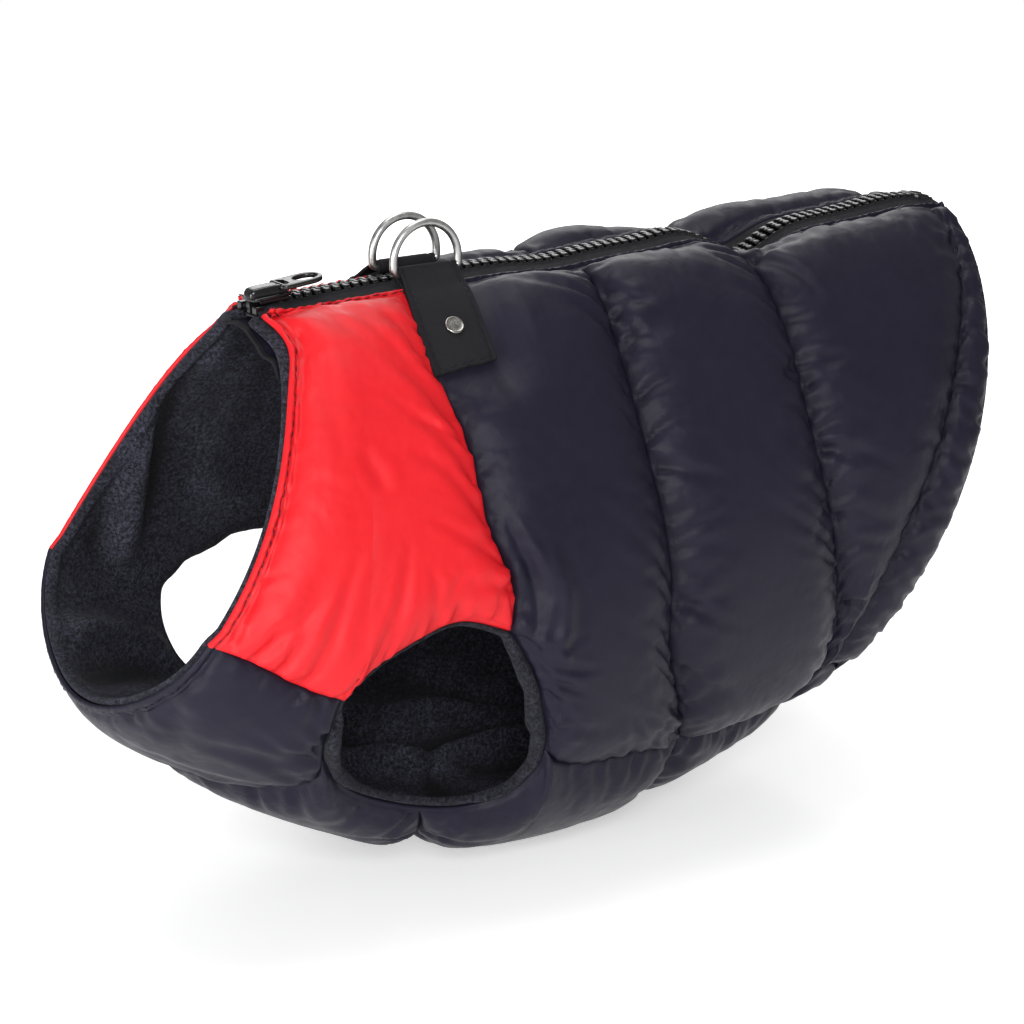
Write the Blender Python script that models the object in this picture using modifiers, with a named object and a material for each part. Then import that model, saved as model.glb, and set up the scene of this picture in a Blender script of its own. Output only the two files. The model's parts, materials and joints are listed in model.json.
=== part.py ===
"""A padded dog vest, size extra small, filled out as if it were worn by nobody.

The dog's spine runs along X with its head towards -X, its left side is -Y and up is +Z. The
origin is on the underside of the zip guard, below the two D-rings, where a back holds the vest up.

The cloth follows one base surface, the outer face of the fleece lining. A place on it has two
coordinates: along, which is 0 at the neck rim and 4 at the rear rim, and round, which is 0 at the
zip, 1 at the middle of the belly and 2 back at the zip. Every panel is a patch between four seams
on that surface, and every layer is that patch moved out or in by its height.

Sizes are in millimetres and angles in degrees. MM turns millimetres into Blender's metres.
"""

import math
from collections import Counter, namedtuple

import bmesh
import bpy
import numpy as np
from mathutils import Matrix, Vector
from mathutils.kdtree import KDTree

MM = 0.001
SAME_PLACE = 0.002  # points closer than this are one point of a seam

# ---------------------------------------------------------------- the body of the garment

Section = namedtuple(
    "Section",
    "top_x top_z bottom_x bottom_z half_width widest_at top_pinch bottom_pinch",
)
SECTIONS = (
    Section(-54.6, -2.9, -110.6, -103.6, 48.4, 0.70, 0.18, 0.16),  # neck rim
    Section(-16.0, -0.8, -26.5, -154.0, 60.0, 0.65, 0.22, 0.00),  # seam behind the yoke
    Section(42.7, 0.4, 55.8, -161.0, 56.8, 0.55, 0.16, -0.06),  # second side seam
    Section(102.0, 0.7, 115.7, -143.4, 55.3, 0.52, 0.08, -0.03),  # third side seam
    Section(183.2, 1.2, 120.6, -148.6, 57.0, 0.48, 0.12, 0.12),  # rear rim
)
REAR = len(SECTIONS) - 1.0

# Where the quilting seams buckle the zip: its place along X, how far it lifts, and its length.
RidgeWave = namedtuple("RidgeWave", "x lift half_length")
RIDGE_WAVES = (
    RidgeWave(39.0, -1.5, 13.0),
    RidgeWave(84.0, 1.5, 10.0),
    RidgeWave(109.0, -8.0, 13.0),
    RidgeWave(168.0, 2.5, 18.0),
)
RIDGE_REACH = 17.0  # how far down the flank a wave of the zip is felt

FRAME_LIFT = 3.6  # the guard's underside lies this far under the lining's outer face

# ---------------------------------------------------------------- seam lines, as (along, round)

CHEST_CORNER = (0.485, 0.547)  # armhole corners: top front,
YOKE_CORNER = (1.155, 0.453)  # top rear,
SIDE_CORNER = (1.36, 0.634)  # bottom rear,
BELLY_CORNER = (0.54, 0.695)  # and bottom front
NECK_CHEST = (0.0, 0.54)
SEAM_2_FOOT = (2.05, 0.73)
SEAM_3_FOOT = (2.77, 0.78)
HEM_FOOT = (2.96, 0.775)
RIM_FOOT = (REAR, 0.798)

YOKE_TOP_FRONT = -0.03  # the yoke's corner at the zip stands forward of the neck rim
SEAM_1_TOP, SEAM_2_TOP, SEAM_3_TOP, HEM_TOP, RIM_TOP = 1.06, 2.05, 2.95, 3.91, REAR
NECK_LINE = ((-0.105, 0.066), (0.02, 0.132), (0.075, 0.214), (0.07, 0.375), NECK_CHEST)
SEAM_1_LINE = ((1.005, 0.188), (1.07, 0.281), (1.095, 0.361), (1.17, 0.411), YOKE_CORNER)
SEAM_2_LINE = ((1.95, 0.23), (1.915, 0.357), (1.92, 0.459), (1.895, 0.543), (1.96, 0.634), SEAM_2_FOOT)
SEAM_3_LINE = ((2.90, 0.237), (2.84, 0.371), (2.865, 0.491), (2.915, 0.601), (2.93, 0.705), SEAM_3_FOOT)
HEM_LINE = ((3.885, 0.224), (3.775, 0.365), (3.62, 0.487), (3.31, 0.622), (3.08, 0.71), HEM_FOOT)
RIM_LINE = ((REAR, 0.25), (REAR, 0.50), RIM_FOOT)
CHEST_LINE = (NECK_CHEST, (0.16, 0.536), (0.32, 0.546), CHEST_CORNER)
ARMHOLE_TOP = (CHEST_CORNER, (0.56, 0.494), (0.75, 0.455), (0.95, 0.438), YOKE_CORNER)
ARMHOLE_REAR = (YOKE_CORNER, (1.26, 0.50), (1.33, 0.58), SIDE_CORNER)
ARMHOLE_FRONT = (CHEST_CORNER, (0.495, 0.63), BELLY_CORNER)
ARMHOLE_FOOT = (BELLY_CORNER, (0.71, 0.768), (0.90, 0.779), (1.10, 0.768), (1.29, 0.72), SIDE_CORNER)
SIDE_1_LINE = (SIDE_CORNER, (1.49, 0.670), (1.79, 0.700), SEAM_2_FOOT)
SIDE_2_LINE = (SEAM_2_FOOT, (2.21, 0.751), (2.47, 0.777), SEAM_3_FOOT)
CHEST_REAR_LINE = (BELLY_CORNER, (0.56, 0.785), (0.43, 0.90), (0.29, 1.0))
BELLY_SEAM_1 = ((1.11, 0.89), (1.17, 1.0))  # it starts at the middle of the armhole's foot
BELLY_SEAM_2 = (SEAM_2_FOOT, (1.99, 0.85), (1.98, 1.0))
BELLY_SEAM_3 = (SEAM_3_FOOT, (2.78, 0.88), (2.76, 1.0))
BELLY_RIM = (RIM_FOOT, (REAR, 0.90), (REAR, 1.0))

# How many stretches each line is drawn with.
YOKE_ROWS, ARM_ROWS = 10, 3
SIDE_ROWS = YOKE_ROWS + ARM_ROWS
CHEST_STEPS, ARM_TOP_STEPS, ARM_FRONT_STEPS, ARM_FOOT_STEPS = 3, 5, 2, 6
PANEL_STEPS, NARROW_STEPS, HALF_BELLY_STEPS = 6, 3, 3

# ---------------------------------------------------------------- layers, as heights off the base

LINING_WALL = 1.8
LINING_EDGE_ARC = 4.8  # from the middle of the zip, measured round the garment
PANEL_BACK = 0.3
PANEL_EDGE = 1.8
PANEL_EDGE_ARC = 8.8
SEAM_GAP = 0.2  # each panel stops this far short of a seam line
SHOULDER = 15.0  # the width over which a panel rises from its seam to its crown
TAPE_BACK, TAPE_FACE = 0.3, 1.3
TAPE_ARCS = (3.2, 8.4)
CHAIN_BACK, CHAIN_FACE = -0.6, 2.2
CHAIN_HALF_WIDTH = 2.9
GUARD_FACE, GUARD_BACK = -2.6, -3.6
GUARD_LEFT_ROWS = 2  # it reaches this many rows of the side panels down the left flank
ARM_BAND_WIDTH = 3.0
ARM_BAND_FACE = 2.0

# ---------------------------------------------------------------- hard pieces

SLIDER_LENGTH, SLIDER_WIDTH = 12.0, 8.4
SLIDER_X = -50.5
PLATE = 1.1
SLIDER_MOUTH = 3.4  # from plate to plate, the chain runs between them
PLATE_ROUNDING = 0.35
POST_LENGTH, POST_WIDTH = 4.2, 2.6  # it parts the two rows of teeth at the slider's front
CAP_LENGTH, CAP_WIDTH, CAP_HEIGHT = 12.0, 5.4, 2.9
CAP_ROUNDING = 1.1
CAP_SUNK = 0.4  # the cap and the upper plate are one moulding
PULL_PIN_RADIUS, PULL_HOLE_RADIUS = 0.8, 1.2
PULL_PIN_BACK = 4.2  # from the slider's middle to the pull's pin
PULL_LENGTH, PULL_WIDTH, PULL_THICK = 14.2, 9.2, 1.4
PULL_EYE_LENGTH, PULL_EYE_WIDTH = 7.2, 5.6
PULL_NEAR_END = 1.1  # its arms pass the pin by this much
PULL_RIM = 1.3  # and the eye ends this far from its tip
PULL_TILT = 2.0
END_BOX_LENGTH, END_BOX_WIDTH, END_BOX_HEIGHT = 6.0, 8.6, 2.6
END_BOX_INSET = 1.0  # from the rear rim
CHAIN_END_GAP = 0.4
CHAIN_IN_SLIDER = 4.0

RING_X, RING_Y, RING_BAR_HEIGHT = -3.2, 5.8, 3.1
RING_HALF_WIDTH = 10.5  # to the middle of the wire
RING_LEG = 3.2
RING_CORNER = 1.6
WIRE_RADIUS = 1.0
LOOP_OUTER, LOOP_INNER = 2.2, 1.3  # the strap's fold round the ring's bar
TAB_WIDTH, TAB_LENGTH = 18.4, 33.0  # the length is that on the panel, below the fold
TAB_THICK = 1.8
TAB_GAP = 0.45
TAB_ROWS, TAB_COLUMNS = 3, 2
# The share of the front panel's loft that the strap presses out, as far back and down as these shares of it.
TAB_PRESS, TAB_BACK_EDGE, TAB_FOOT_EDGE, TAB_SOFT_EDGE = 0.75, 0.52, 0.34, 0.12
TAB_INTO_FOLD = ((0.8, -1.6), (1.75, 0.4))  # where the strap's two faces end in its fold, from the bar
RIVET_RADIUS, RIVET_HEIGHT, RIVET_GAP = 2.8, 1.3, 0.3
RIVET_ROW = 3  # counted from the fold

# ---------------------------------------------------------------- colours and finishes

Finish = namedtuple("Finish", "colour roughness metallic")
FINISHES = {
    "red nylon": Finish((0.80, 0.02, 0.03), 0.35, 0.0),
    "dark nylon": Finish((0.026, 0.024, 0.036), 0.38, 0.0),
    "fleece": Finish((0.012, 0.012, 0.014), 0.95, 0.0),
    "zip tape": Finish((0.010, 0.010, 0.012), 0.80, 0.0),
    "zip plastic": Finish((0.008, 0.008, 0.009), 0.25, 0.0),
    "strap": Finish((0.013, 0.013, 0.014), 0.70, 0.0),
    "satin steel": Finish((0.45, 0.45, 0.44), 0.35, 1.0),
    "nickel": Finish((0.60, 0.58, 0.54), 0.20, 1.0),
}


# ---------------------------------------------------------------- curves and the base surface


def natural_spline(values, at):
    """The smooth curve through values at 0, 1, 2 and so on, read at the given places."""
    values = np.asarray(values, float)
    at = np.asarray(at, float)
    count = len(values)
    system = np.eye(count)
    right = np.zeros(count)
    for i in range(1, count - 1):
        system[i, i - 1 : i + 2] = (1, 4, 1)
        right[i] = 6 * (values[i - 1] - 2 * values[i] + values[i + 1])
    bends = np.linalg.solve(system, right)
    i = np.clip(np.floor(at).astype(int), 0, count - 2)
    b = at - i
    a = 1 - b
    curve = a * values[i] + b * values[i + 1]
    return curve + ((a**3 - a) * bends[i] + (b**3 - b) * bends[i + 1]) / 6


def base_point(along, round_):
    """The base surface's points, in millimetres, at these places."""
    along, round_ = np.broadcast_arrays(np.asarray(along, float), np.asarray(round_, float))
    row = Section(*(natural_spline(column, along) for column in zip(*SECTIONS)))
    cosine, sine = np.cos(np.pi * round_), np.sin(np.pi * round_)
    upper = cosine >= 0
    drop = np.where(upper, row.widest_at * (1 - cosine), row.widest_at - (1 - row.widest_at) * cosine)
    pinch = np.where(upper, row.top_pinch, row.bottom_pinch)
    x = row.top_x + (row.bottom_x - row.top_x) * drop
    y = -row.half_width * sine * (1 - pinch * cosine**2)
    z = row.top_z + (row.bottom_z - row.top_z) * drop
    near_zip = np.exp(-((y / RIDGE_REACH) ** 2)) * upper
    for wave in RIDGE_WAVES:
        z = z + near_zip * wave.lift * np.exp(-(((x - wave.x) / wave.half_length) ** 2))
    return np.stack([x, y, z + FRAME_LIFT], axis=-1)


def base_normal(along, round_):
    """Unit vectors out of the garment."""
    step_along, step_round = 2e-3, 1e-3
    along, round_ = np.asarray(along, float), np.asarray(round_, float)
    down = base_point(along, round_ + step_round) - base_point(along, round_ - step_round)
    back = base_point(along + step_along, round_) - base_point(along - step_along, round_)
    normal = np.cross(back, down)
    return -normal / np.linalg.norm(normal, axis=-1, keepdims=True)


def round_at(along, arc):
    """How far round lies this many millimetres from the middle of the zip."""
    steps = np.linspace(0, 0.5, 201)
    points = base_point(along, steps)
    lengths = np.concatenate([[0], np.cumsum(np.linalg.norm(np.diff(points, axis=0), axis=1))])
    return float(np.interp(arc, lengths, steps))


def zip_place(along, arc=PANEL_EDGE_ARC):
    return (along, round_at(along, arc))


def line(points, steps):
    """A seam line: a smooth curve through these places, cut into equal stretches."""
    points = np.asarray(points, float)
    fine = np.linspace(0, len(points) - 1, 40 * (len(points) - 1) + 1)
    places = np.stack([natural_spline(points[:, 0], fine), natural_spline(points[:, 1], fine)], axis=-1)
    spots = base_point(places[:, 0], places[:, 1])
    lengths = np.concatenate([[0], np.cumsum(np.linalg.norm(np.diff(spots, axis=0), axis=1))])
    at = np.linspace(0, lengths[-1], steps + 1)
    return np.stack([np.interp(at, lengths, places[:, 0]), np.interp(at, lengths, places[:, 1])], axis=-1)


def joined(*lines):
    """Lines end to end, with their shared ends taken once."""
    return np.concatenate([lines[0]] + [piece[1:] for piece in lines[1:]])


def across(half):
    """A line from the left side to the middle of the belly, carried on to the right side."""
    other = half[::-1].copy()
    other[:, 1] = 2 - other[:, 1]
    return joined(half, other)


def other_side(places):
    places = places.copy()
    places[..., 1] = 2 - places[..., 1]
    return places


def patch(top, foot, front, rear):
    """The grid of places between four lines. top and foot run backwards, front and rear run down."""
    down = np.linspace(0, 1, len(front))[:, None, None]
    back = np.linspace(0, 1, len(top))[None, :, None]
    between_rows = (1 - down) * top[None] + down * foot[None]
    between_columns = (1 - back) * front[:, None] + back * rear[:, None]
    corners = (1 - down) * ((1 - back) * top[0] + back * top[-1])
    corners = corners + down * ((1 - back) * foot[0] + back * foot[-1])
    return between_rows + between_columns - corners


def zip_line(start, end, steps, arc=PANEL_EDGE_ARC):
    """A line beside the zip, at one distance from its middle."""
    return np.array([zip_place(along, arc) for along in np.linspace(start, end, steps + 1)])


def pattern():
    """The left side's and the belly's patches, by name."""
    seam_1 = line((zip_place(SEAM_1_TOP),) + SEAM_1_LINE, YOKE_ROWS)
    seam_2 = line((zip_place(SEAM_2_TOP),) + SEAM_2_LINE, SIDE_ROWS)
    seam_3 = line((zip_place(SEAM_3_TOP),) + SEAM_3_LINE, SIDE_ROWS)
    hem = line((zip_place(HEM_TOP),) + HEM_LINE, SIDE_ROWS)
    rim = line((zip_place(RIM_TOP),) + RIM_LINE, SIDE_ROWS)
    neck = line((zip_place(YOKE_TOP_FRONT),) + NECK_LINE, YOKE_ROWS)
    chest = line(CHEST_LINE, CHEST_STEPS)
    arm_rear = line(ARMHOLE_REAR, ARM_ROWS)
    arm_front = line(ARMHOLE_FRONT, ARM_FRONT_STEPS)
    side_1, side_2 = line(SIDE_1_LINE, PANEL_STEPS), line(SIDE_2_LINE, PANEL_STEPS)
    side_3 = line((SEAM_3_FOOT, HEM_FOOT), NARROW_STEPS)
    side_4 = line((HEM_FOOT, RIM_FOOT), NARROW_STEPS)
    chest_rear = across(joined(arm_front, line(CHEST_REAR_LINE, HALF_BELLY_STEPS)))
    belly_front = across(line(CHEST_REAR_LINE, HALF_BELLY_STEPS))
    neck_foot = line((NECK_CHEST, (0.0, 0.75), (0.0, 1.0)), ARM_FRONT_STEPS + HALF_BELLY_STEPS)
    foot = line(ARMHOLE_FOOT, ARM_FOOT_STEPS)
    foot_front, foot_rear = foot[: ARM_FOOT_STEPS // 2 + 1], foot[ARM_FOOT_STEPS // 2 :]
    belly_seams = ((tuple(foot_rear[0]),) + BELLY_SEAM_1, BELLY_SEAM_2, BELLY_SEAM_3, BELLY_RIM)
    belly = [across(line(seam, HALF_BELLY_STEPS)) for seam in belly_seams]
    edges = (foot_front, joined(foot_rear, side_1), side_2, joined(side_3, side_4))
    sides = {
        "yoke": patch(
            zip_line(YOKE_TOP_FRONT, SEAM_1_TOP, CHEST_STEPS + ARM_TOP_STEPS),
            joined(chest, line(ARMHOLE_TOP, ARM_TOP_STEPS)),
            neck,
            seam_1,
        ),
        "body_1": patch(
            zip_line(SEAM_1_TOP, SEAM_2_TOP, PANEL_STEPS),
            side_1,
            joined(seam_1, arm_rear),
            seam_2,
        ),
        "body_2": patch(zip_line(SEAM_2_TOP, SEAM_3_TOP, PANEL_STEPS), side_2, seam_2, seam_3),
        "body_3": patch(zip_line(SEAM_3_TOP, HEM_TOP, NARROW_STEPS), side_3, seam_3, hem),
        "hem_band": patch(zip_line(HEM_TOP, RIM_TOP, NARROW_STEPS), side_4, hem, rim),
    }
    middle = {"chest_panel": patch(chest, other_side(chest), across(neck_foot), chest_rear)}
    fronts = [belly_front] + belly[:3]
    for number, (front, rear, edge) in enumerate(zip(fronts, belly, edges), start=1):
        middle[f"belly_{number}"] = patch(edge, other_side(edge), front, rear)
    return sides, middle


# How high each panel's crown stands over the lining, and its rim where it isn't the usual edge.
CROWNS = {
    "yoke": 6.5,
    "body_1": 7.5,
    "body_2": 8.0,
    "body_3": 7.5,
    "hem_band": 5.2,
    "chest_panel": 6.0,
    "belly_1": 7.5,
    "belly_2": 7.5,
    "belly_3": 7.0,
    "belly_4": 5.2,
}


# ---------------------------------------------------------------- making meshes


def material(finish):
    if finish in bpy.data.materials:
        return bpy.data.materials[finish]
    made = bpy.data.materials.new(finish)
    made.use_nodes = True
    shader = made.node_tree.nodes["Principled BSDF"]
    shader.inputs["Base Color"].default_value = (*FINISHES[finish].colour, 1.0)
    shader.inputs["Roughness"].default_value = FINISHES[finish].roughness
    shader.inputs["Metallic"].default_value = FINISHES[finish].metallic
    return made


def collect(obj, finish, smooth_under=50.0):
    """Puts a finished object in the vest's collection, in its material."""
    for holder in list(obj.users_collection):
        holder.objects.unlink(obj)
    bpy.data.collections["padded dog vest"].objects.link(obj)
    obj.data.materials.clear()
    obj.data.materials.append(material(finish))
    if obj.type == "MESH":
        obj.data.shade_smooth()
        obj.data.set_sharp_from_angle(angle=math.radians(smooth_under))
    return obj


def mesh_object(name, mesh, finish):
    return collect(bpy.data.objects.new(name, mesh), finish)


def as_helper(obj):
    """A cutter: it shapes other objects and isn't part of the vest."""
    for holder in list(obj.users_collection):
        holder.objects.unlink(obj)
    bpy.data.collections["cutters"].objects.link(obj)
    obj.hide_render = True
    obj.display_type = "WIRE"
    return obj


def first_alike(points):
    """For each point, the index of the first point in the same place."""
    tree = KDTree(len(points))
    for index, point in enumerate(points):
        tree.insert(point, index)
    tree.balance()
    return [min(found[1] for found in tree.find_range(point, SAME_PLACE)) for point in points]


def grid_triangles(rows, columns, start):
    """The triangles of a grid of points that are numbered row by row from start."""
    for row in range(rows - 1):
        for column in range(columns - 1):
            corner = start + row * columns + column
            below = corner + columns
            yield corner, below, below + 1
            yield corner, below + 1, corner + 1


def wall_mesh(name, patches):
    """One closed wall over patches that share seam lines. Each patch is (outer points, inner points)."""
    skins = [np.concatenate([pair[skin].reshape(-1, 3) for pair in patches]) for skin in (0, 1)]
    alike = first_alike(skins[0])
    outer_faces = []
    start = 0
    for outer, _ in patches:
        rows, columns = outer.shape[:2]
        outer_faces += [[alike[i] for i in loop] for loop in grid_triangles(rows, columns, start)]
        start += rows * columns
    sides = [edge for a, b, c in outer_faces for edge in ((a, b), (b, c), (c, a))]
    uses = Counter(frozenset(edge) for edge in sides)
    rims = [edge for edge in sides if uses[frozenset(edge)] == 1]

    shell = bmesh.new()
    outer_verts, inner_verts = (
        {i: shell.verts.new(tuple(skin[i] * MM)) for i in sorted(set(alike))} for skin in skins
    )
    for loop in outer_faces:
        shell.faces.new([outer_verts[i] for i in loop])
        shell.faces.new([inner_verts[i] for i in reversed(loop)])
    for a, b in rims:
        shell.faces.new((outer_verts[b], outer_verts[a], inner_verts[a], inner_verts[b]))
    bmesh.ops.recalc_face_normals(shell, faces=shell.faces)
    mesh = bpy.data.meshes.new(name)
    shell.to_mesh(mesh)
    shell.free()
    return mesh


def raised(places, heights):
    """Points this far off the base surface."""
    heights = np.broadcast_to(np.asarray(heights, float), places.shape[:2])
    along, round_ = places[..., 0], places[..., 1]
    return base_point(along, round_) + base_normal(along, round_) * heights[..., None]


def edge_distances(points):
    """For each point of a grid, the distance to the nearest end of its row and of its column."""
    nearest = []
    for axis in (1, 0):
        steps = np.linalg.norm(np.diff(points, axis=axis), axis=-1)
        lengths = np.cumsum(steps, axis=axis)
        lengths = np.insert(lengths, 0, 0, axis=axis)
        total = lengths[:, -1:] if axis == 1 else lengths[-1:]
        nearest.append(np.minimum(lengths, total - lengths))
    return nearest


def dome(distance, shoulder=SHOULDER):
    """A quarter round: 0 at a seam, 1 a shoulder's width from it."""
    return np.sqrt(np.clip(1 - (1 - np.clip(distance / shoulder, 0, 1)) ** 2, 0, 1))


def pressed_by_tab(name, shape):
    """How much of the front panel's loft is left where the ring tab is sewn down on it."""
    if name != "body_1":
        return np.ones(shape)
    down = np.linspace(0, 1, shape[0])[:, None]
    back = np.linspace(0, 1, shape[1])[None, :]
    under = np.clip((TAB_BACK_EDGE - back) / TAB_SOFT_EDGE, 0, 1)
    under = under * np.clip((TAB_FOOT_EDGE - down) / TAB_SOFT_EDGE, 0, 1)
    return 1 - TAB_PRESS * under


def panel_heights(name, places):
    points = base_point(places[..., 0], places[..., 1])
    by_row, by_column = edge_distances(points)
    loft = dome(by_row) * dome(by_column) * pressed_by_tab(name, places.shape[:2])
    return PANEL_EDGE + (CROWNS[name] - PANEL_EDGE) * loft


def pulled_in(points, axis, by):
    """The grid with its first and last lines on this axis moved inwards, square to themselves."""
    lines = np.moveaxis(points.copy(), axis, 0)
    for edge, inner in ((0, 1), (-1, -2)):
        run = np.gradient(lines[edge], axis=0)
        run /= np.linalg.norm(run, axis=-1, keepdims=True)
        inward = lines[inner] - lines[edge]
        inward -= (inward * run).sum(axis=-1, keepdims=True) * run
        lines[edge] += by * inward / np.linalg.norm(inward, axis=-1, keepdims=True)
    return np.moveaxis(lines, 0, axis)


def drawn_in(points):
    """The grid with all its edges off the seam lines."""
    return pulled_in(pulled_in(points, 0, SEAM_GAP), 1, SEAM_GAP)


def panel_skins(name, places):
    """The outer and inner points of one padded panel."""
    outer = drawn_in(raised(places, panel_heights(name, places)))
    inner = drawn_in(raised(places, PANEL_BACK))
    return outer, inner


def mirrored(points):
    return points * np.array((1, -1, 1))


# ---------------------------------------------------------------- cloth pieces


def make_panels(sides, middle):
    for name, places in sides.items():
        finish = "red nylon" if name == "yoke" else "dark nylon"
        skins = panel_skins(name, places)
        mesh_object(f"left_{name}", wall_mesh(name, [skins]), finish)
        mesh_object(f"right_{name}", wall_mesh(name, [tuple(map(mirrored, skins))]), finish)
    for name, places in middle.items():
        mesh_object(name, wall_mesh(name, [panel_skins(name, places)]), "dark nylon")


def top_line(sides):
    """The places along all the side panels' top edges, from the neck to the rear rim."""
    order = ("yoke", "body_1", "body_2", "body_3", "hem_band")
    return joined(*(sides[name][0] for name in order))


def zip_strip(sides, arcs):
    """A grid of places beside the zip, with a row at each distance from its middle."""
    along = top_line(sides)[:, 0]
    return np.array([[zip_place(value, arc) for value in along] for arc in arcs])


def make_lining(sides, middle):
    """The fleece: one piece a side and one for the chest and belly."""
    strip = zip_strip(sides, (LINING_EDGE_ARC, PANEL_EDGE_ARC))
    flank = [strip] + list(sides.values())
    skins = [(raised(places, 0.0), raised(places, -LINING_WALL)) for places in flank]
    mesh_object("left_lining", wall_mesh("left_lining", skins), "fleece")
    other = [tuple(map(mirrored, pair)) for pair in skins]
    mesh_object("right_lining", wall_mesh("right_lining", other), "fleece")
    skins = []
    for places in middle.values():
        faces = (raised(places, height) for height in (0.0, -LINING_WALL))
        skins.append(tuple(pulled_in(face, 0, 2 * SEAM_GAP) for face in faces))
    mesh_object("belly_lining", wall_mesh("belly_lining", skins), "fleece")


def make_arm_bands():
    """The turned fleece edge inside each armhole, a ring with a rounded section."""
    loop = joined(
        line(ARMHOLE_TOP, ARM_TOP_STEPS),
        line(ARMHOLE_REAR, ARM_ROWS),
        line(ARMHOLE_FOOT, ARM_FOOT_STEPS)[::-1],
        line(ARMHOLE_FRONT, ARM_FRONT_STEPS)[::-1],
    )[:-1]
    spots = base_point(loop[:, 0], loop[:, 1])
    out = base_normal(loop[:, 0], loop[:, 1])
    along = np.roll(spots, -1, axis=0) - np.roll(spots, 1, axis=0)
    inward = np.cross(along, out)
    inward /= np.linalg.norm(inward, axis=1, keepdims=True)
    inward *= np.sign((inward * (spots.mean(axis=0) - spots)).sum())
    low, high, width = -LINING_WALL, ARM_BAND_FACE, ARM_BAND_WIDTH
    section = ((0.0, low), (0.0, high - 0.4), (0.6, high))
    section += ((width - 0.8, high), (width, 0.4), (width - 0.5, low))
    ring = np.array([spots + inward * (SEAM_GAP * 2 + across_) + out * height for across_, height in section])
    for side, points in (("left", ring), ("right", mirrored(ring))):
        mesh_object(f"{side}_armhole_band", ring_mesh(points), "fleece")


def ring_mesh(points):
    """A closed tube: points[i] is one line right round, and the last line joins the first."""
    tube = bmesh.new()
    lines = [[tube.verts.new(tuple(point * MM)) for point in one] for one in points]
    count = len(lines[0])
    for first, second in zip(lines, lines[1:] + lines[:1]):
        for i in range(count):
            j = (i + 1) % count
            tube.faces.new((first[i], first[j], second[j], second[i]))
    bmesh.ops.recalc_face_normals(tube, faces=tube.faces)
    mesh = bpy.data.meshes.new("armhole band")
    tube.to_mesh(mesh)
    tube.free()
    return mesh


def make_zip(sides):
    tape = zip_strip(sides, TAPE_ARCS)
    skins = (raised(tape, TAPE_FACE), raised(tape, TAPE_BACK))
    mesh_object("left_zip_tape", wall_mesh("tape", [skins]), "zip tape")
    mesh_object("right_zip_tape", wall_mesh("tape", [tuple(map(mirrored, skins))]), "zip tape")
    make_chain(sides)
    make_guard(sides)


def along_at_x(x):
    """Where along the zip this X lies."""
    steps = np.linspace(-0.2, REAR, 401)
    return float(np.interp(x, base_point(steps, 0.0)[:, 0], steps))


def chain_ends():
    start = SLIDER_X + SLIDER_LENGTH / 2 - CHAIN_IN_SLIDER
    end = SECTIONS[-1].top_x - END_BOX_INSET - END_BOX_LENGTH - CHAIN_END_GAP
    return start, end


def make_chain(sides):
    start, end = (along_at_x(x) for x in chain_ends())
    along = top_line(sides)[:, 0]
    along = np.concatenate([[start], along[(along > start + 0.03) & (along < end - 0.03)], [end]])
    half = np.array([[zip_place(value, arc) for value in along] for arc in (CHAIN_HALF_WIDTH, 0.0)])
    skins = []
    for height in (CHAIN_FACE, CHAIN_BACK):
        skins.append(np.concatenate([raised(half, height), mirrored(raised(half[:1], height))]))
    mesh_object("zip_chain", wall_mesh("chain", [skins]), "zip plastic")


def make_guard(sides):
    """The strip under the zip, which stops beside the tape on the right and hangs down on the left."""
    middle = zip_strip(sides, (0.0, LINING_EDGE_ARC))
    beside = zip_strip(sides, (LINING_EDGE_ARC, PANEL_EDGE_ARC))
    left = [middle, beside] + [places[: GUARD_LEFT_ROWS + 1] for places in sides.values()]
    skins = [(raised(places, GUARD_FACE), raised(places, GUARD_BACK)) for places in left]
    skins += [tuple(map(mirrored, pair)) for pair in skins[:2]]
    mesh_object("zip_guard", wall_mesh("guard", skins), "dark nylon")


# ---------------------------------------------------------------- hard pieces


def apply_modifiers(obj):
    """A plain mesh of the object as its modifiers leave it, in its place."""
    graph = bpy.context.evaluated_depsgraph_get()
    mesh = bpy.data.meshes.new_from_object(obj.evaluated_get(graph))
    mesh.transform(obj.matrix_world)
    name = obj.name
    bpy.data.objects.remove(obj)
    made = bpy.data.objects.new(name, mesh)
    bpy.context.scene.collection.objects.link(made)
    return made


def block(name, size, centre, bevel=0.0, segments=2):
    """A box with rounded edges."""
    bpy.ops.mesh.primitive_cube_add(size=1.0, location=Vector(centre) * MM)
    obj = bpy.context.object
    obj.name = name
    obj.data.transform(Matrix.Diagonal((*(value * MM for value in size), 1.0)))
    if bevel:
        edges = obj.modifiers.new("rounded edges", "BEVEL")
        edges.width = bevel * MM
        edges.segments = segments
        edges.limit_method = "ANGLE"
    bpy.context.view_layer.update()
    return obj


def cylinder(name, radius, length, centre, axis="X", sides=24):
    turn = {"X": (0, math.pi / 2, 0), "Y": (math.pi / 2, 0, 0), "Z": (0, 0, 0)}[axis]
    bpy.ops.mesh.primitive_cylinder_add(
        vertices=sides, radius=radius * MM, depth=length * MM, location=Vector(centre) * MM, rotation=turn
    )
    bpy.context.object.name = name
    bpy.context.view_layer.update()
    return bpy.context.object


def boolean(obj, other, operation):
    cut = obj.modifiers.new(f"{operation.lower()} {other.name}", "BOOLEAN")
    cut.operation = operation
    cut.object = other
    as_helper(other)


def zip_frame(x):
    """The point and turn of the zip at this X: its own X runs along the zip."""
    along = along_at_x(x)
    here = base_point(along, 0.0)
    ahead = base_point(along + 0.02, 0.0) - base_point(along - 0.02, 0.0)
    pitch = -math.atan2(ahead[2], ahead[0])
    return here, Matrix.Translation(Vector(here) * MM) @ Matrix.Rotation(pitch, 4, "Y")


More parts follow.
